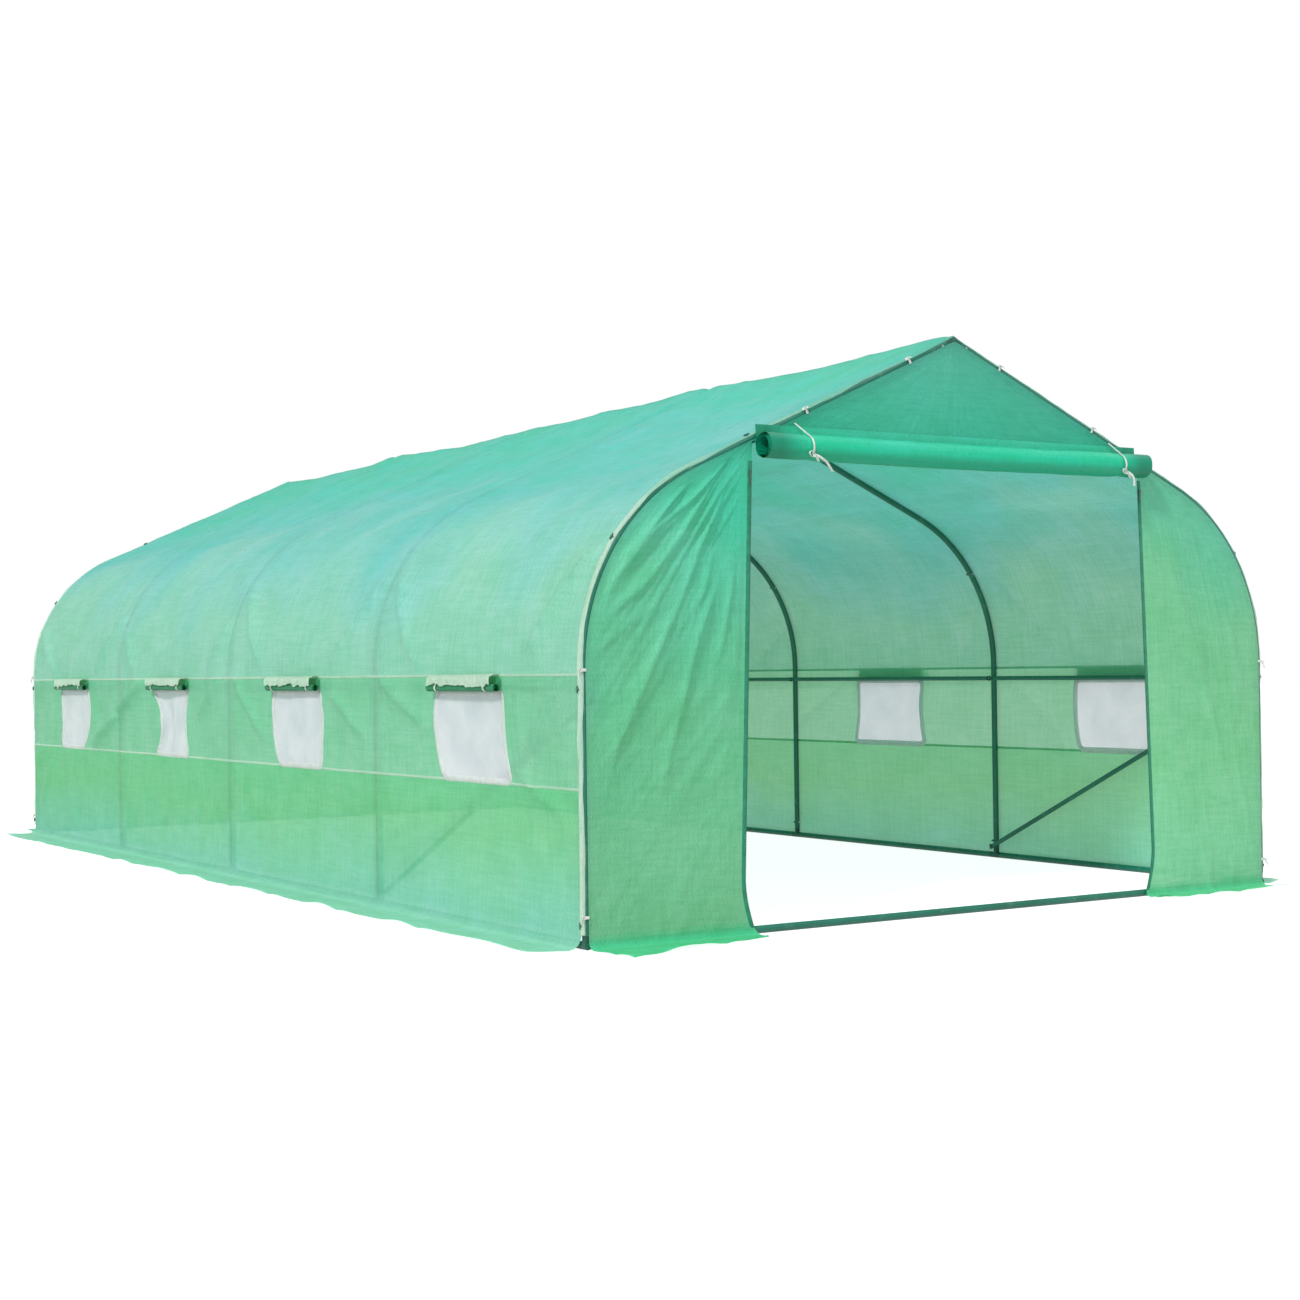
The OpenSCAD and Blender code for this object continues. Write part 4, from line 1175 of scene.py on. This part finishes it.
def door_tie(side, lean):
    """A tape from the gable over the front of the roll to its knot, with a bow's loops."""
    x = TIE_XS[side]
    radius = ROLL_R - TIE_PINCH + TAPE_T / 2 + 0.0024
    top = (-END_Y - 0.008, CURTAIN_TOP + 0.010)
    up, back = top[1] - ROLL_AT[1], top[0] - ROLL_AT[0]
    start = math.atan2(up, back) + math.acos(radius / math.hypot(up, back))
    angles = np.linspace(start, KNOT_ANGLE, 24)
    arc = np.stack([np.full_like(angles, x), ROLL_AT[0] + radius * np.cos(angles),
                    ROLL_AT[1] + radius * np.sin(angles) - 0.0035], axis=1)
    lead = np.linspace([x + lean, *top], arc[0], 8)[:-1]
    knot = (x, ROLL_AT[0] + KNOT_REACH * math.cos(KNOT_ANGLE), ROLL_AT[1] + KNOT_REACH * math.sin(KNOT_ANGLE))
    tape = swept(np.concatenate([lead, arc]), oval(TAPE_W, TAPE_T), (1, 0, 0))
    tie = joined(f"door_tie_{side}", [tape, knot_part(knot, 0.011), loop_part(knot, -0.024, 0.004, 0.009),
                                      loop_part(knot, 0.012, -0.020, 0.006)])
    dress(tie, CORD, "door")


door_tie("left", -0.016)
door_tie("right", -0.004)


# ---- Small ties that hold the cover to the end hoops ----

# The ties round each end hoop: (distance from the ridge or height up the leg, whether it is on the roof)
TIE_SPOTS = [(0.220, True), (0.700, True), (0.100, False), (0.860, False)]
TIE_RING = HOOP_R + 0.0040


def cover_tie_parts(spot, is_roof, end, side):
    """A tape round an end hoop and the edges of the cloth over it, with its knot and two ends."""
    if is_roof:
        x, z, tilt = spot * math.cos(SLOPE), RIDGE_Z - spot * math.sin(SLOPE), BEND
    else:
        x, z, tilt = HALF_W, spot, 0.0
    out = np.array([side * math.cos(tilt), 0, math.sin(tilt)])
    away = np.array([0, end, 0])
    along = np.array([-side * math.sin(tilt), 0, math.cos(tilt)])
    centre = np.array([side * x, end * HALF_L, z])
    turn = np.radians(np.linspace(-12, 108, 18))[:, None]
    yield swept(centre + TIE_RING * (np.cos(turn) * out + np.sin(turn) * away), oval(0.010, 0.002), along)
    knot = centre + (TIE_RING + 0.003) * (math.cos(0.75) * out + math.sin(0.75) * away)
    yield knot_part(knot, 0.008)
    for way in (-1, 1):
        tip = knot + 0.020 * (0.5 * out + 0.35 * away) + way * 0.012 * along + np.array([0, 0, -0.012])
        route = smooth_route([knot, (knot + tip) / 2 + 0.004 * out, tip], 4)
        yield swept(route, oval(0.006, 0.0016), along + 0.3 * out)


ties = joined("cover_ties", [part for end in (FRONT, REAR) for spot in TIE_SPOTS for side in (LEFT, RIGHT)
                             for part in cover_tie_parts(*spot, end, side)])
dress(ties, CORD)


# ---- Rolled window flaps ----

FLAP_TURNS = 5.8
FLAP_CORE = 0.004
FLAP_TIE_Y = 0.180
FLAP_HEM_X = FLAP_AT[0] - FLAP_R - 0.0016


def make_flap_roll(label, side, k):
    angles, radii = spiral(FLAP_TURNS, FLAP_R - 0.0004, FLAP_CORE, 22)
    seed = 7 * k + 3 * side

    def place(angle, y):
        along = y - bay_y(k)
        dent = 0.0010 * uneven(angle, y, 14, seed + 20) - 0.0004
        dent = dent + 0.0007 * uneven(angle * 2, y, 40, seed + 60)
        for tie in (-FLAP_TIE_Y, FLAP_TIE_Y):
            dent = dent - 0.0022 * np.exp(-(((along - tie) / 0.012) ** 2))
        radius = np.interp(angle, angles, radii) * (1 + dent / FLAP_R)
        push = 0.004 * noise(angle * 0.5 + seed, y * 0) * step(np.abs(along), FLAP_HALF - 0.03, FLAP_HALF)
        x, z = FLAP_AT[0] - radius * np.cos(angle), FLAP_AT[1] - radius * np.sin(angle)
        return side * x, y + push * np.sign(along), z

    ys = lines([bay_y(k) - FLAP_HALF, bay_y(k) + FLAP_HALF], 0.0125)
    roll = sheet_mesh(f"window_flap_{label}_{k + 1}", angles, ys, place)
    dress(roll, SHADED_FLAP, f"flap_{label}_{k + 1}")
    metres(2 * FLAP_HALF, area_under(radii, angles))


def make_flap_strip(label, side, k):
    """The flap's top, from the seam down the wall to its roll."""
    top, half = HIGH_SEAM - 0.003, FLAP_HALF - 0.004

    def place(share, y):
        x = FLAP_HEM_X + (FLAP_AT[0] - FLAP_R + 0.0004 - FLAP_HEM_X) * share
        return side * x, y, top + (FLAP_AT[1] - top) * share

    ys = lines([bay_y(k) - half, bay_y(k) + half], 0.0125)
    strip = sheet_mesh(f"window_flap_{label}_{k + 1}_strip", np.linspace(0, 1, 26), ys, place)
    dress(strip, SHADED_FLAP, None, stands_in=False)
    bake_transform(strip)


def flap_tie_part(side, y):
    """A tape round the rolled flap."""
    turn = np.radians(np.linspace(-140, 140, 22))
    radius = FLAP_R - 0.0006
    route = np.stack([side * (FLAP_AT[0] + radius * np.cos(turn)), np.full_like(turn, y),
                      FLAP_AT[1] + radius * np.sin(turn)], axis=1)
    return swept(route, oval(0.012, FLAP_TIE_T, 8), (0, 1, 0))


# The frill's section: how far out and how far down it is, from its seam to where it hangs free
FRILL_AT = (0, 0.18, 0.45, 0.75, 1)
FRILL_OUT = (0.0012, 0.022, 0.0375, 0.0390, 0.0385)
FRILL_DOWN = (0, 0.0010, 0.0080)


def make_frill(label, side, k):
    """The gathered strip over the roll, sewn into the seam above the window."""
    half = FLAP_HALF - 0.020
    seed = 5 * k + 2 * side

    def place(share, y):
        along = y - bay_y(k)
        gather = noise(along * 42 + seed, share * 1.5) * 0.7 + noise(along * 90 + seed, share * 3) * 0.4
        hang = 0.037 + 0.007 * noise(along * 26 + seed + 40, share * 0)
        hang = hang + 0.004 * noise(along * 70 + seed, share * 0)
        fall = np.maximum(share - 0.45, 0) / 0.55
        out = np.interp(share, FRILL_AT, FRILL_OUT) + (0.0050 * gather + 0.0024) * step(share, 0.2, 0.6)
        drop = np.interp(share, FRILL_AT[:3], FRILL_DOWN) + fall * (hang - FRILL_DOWN[-1])
        return side * (HALF_W + COVER_OFF + out), y, HIGH_SEAM + 0.006 - drop + 0.0020 * gather * (1 - share)

    ys = lines([bay_y(k) - half, bay_y(k) + half], 0.005)
    frill = sheet_mesh(f"window_flap_{label}_{k + 1}_frill", np.linspace(0, 1, 12), ys, place)
    dress(frill, FRILL, stands_in=False)


for label, side in SIDES.items():
    for k in range(BAYS):
        make_flap_roll(label, side, k)
        make_flap_strip(label, side, k)
        make_frill(label, side, k)
        parts = [flap_tie_part(side, bay_y(k) + at) for at in (-FLAP_TIE_Y, FLAP_TIE_Y)]
        ties = joined(f"window_flap_{label}_{k + 1}_ties", parts)
        dress(ties, CORD, f"flap_{label}_{k + 1}", stands_in=False)


# ---- The frame's own finishes ----

FINISHES = {"foot_connectors": MOULDING, "ridge_connectors": MOULDING, "wing_nuts": MOULDING,
            "frame_bolts": ZINC, "zip_slider_left": SLIDER, "zip_slider_right": SLIDER}

# Paint, moulding and plating on the CAD parts that stay in view
for name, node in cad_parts.items():
    if not node.hide_render:
        node.data.materials.clear()
        node.data.materials.append(FINISHES.get(name, TUBE))


# ---- Studio ----

FLOOR_HALF = 60
FLOOR_UNDER = 0.0005


def make_floor():
    """A pale floor that looks white, but throws only soft light back up."""
    corners = [(-FLOOR_HALF, -FLOOR_HALF, 0), (FLOOR_HALF, -FLOOR_HALF, 0), (FLOOR_HALF, FLOOR_HALF, 0),
               (-FLOOR_HALF, FLOOR_HALF, 0)]
    floor = link_mesh("floor", corners, [[0, 1, 2, 3]])
    floor.location.z = -FLOOR_UNDER
    g = Graph("floor")
    base = g.mix(g.noise(g.here(), 0.6, 2.0), (0.42, 0.40, 0.41, 1), (0.46, 0.44, 0.45, 1))
    white = g.span(g.node("LightPath").outputs["Is Camera Ray"], 0, 1, 0.38, 0.86)
    skin = g.node("BsdfPrincipled", {"Base Color": base, "Roughness": 0.9, "Specular IOR Level": 0.1,
                                     "Emission Color": (1, 1, 1, 1), "Emission Strength": white})
    floor.data.materials.append(g.finish(skin.outputs[0]))


def make_light(name, at, strength, angle, colour=(1, 1, 1)):
    """A far soft light that shines from the direction of at."""
    data = bpy.data.lights.new(name, "SUN")
    data.energy = strength
    data.angle = math.radians(angle)
    data.color = colour
    light = bpy.data.objects.new(name, data)
    bpy.context.scene.collection.objects.link(light)
    aim = Vector(at).to_track_quat("Z", "Y")
    light.matrix_world = Matrix.Translation(at) @ aim.to_matrix().to_4x4()


def make_world():
    """A white room, a little dimmer as a light than it looks."""
    world = bpy.data.worlds.new("studio")
    world.use_nodes = True
    nodes, links = world.node_tree.nodes, world.node_tree.links
    nodes.clear()
    path = nodes.new("ShaderNodeLightPath")
    strength = nodes.new("ShaderNodeMapRange")
    strength.inputs["To Min"].default_value = 0.70
    strength.inputs["To Max"].default_value = 1.0
    back = nodes.new("ShaderNodeBackground")
    back.inputs["Color"].default_value = (1, 1, 1, 1)
    out = nodes.new("ShaderNodeOutputWorld")
    links.new(path.outputs["Is Camera Ray"], strength.inputs["Value"])
    links.new(strength.outputs[0], back.inputs["Strength"])
    links.new(back.outputs[0], out.inputs["Surface"])
    bpy.context.scene.world = world


make_floor()
make_light("key", (-8, -4, 7.5), 2.6, 9)
make_light("top", (3, -1, 10), 0.50, 40, (0.94, 0.98, 1.0))
make_world()
bpy.context.scene.view_settings.view_transform = "Standard"
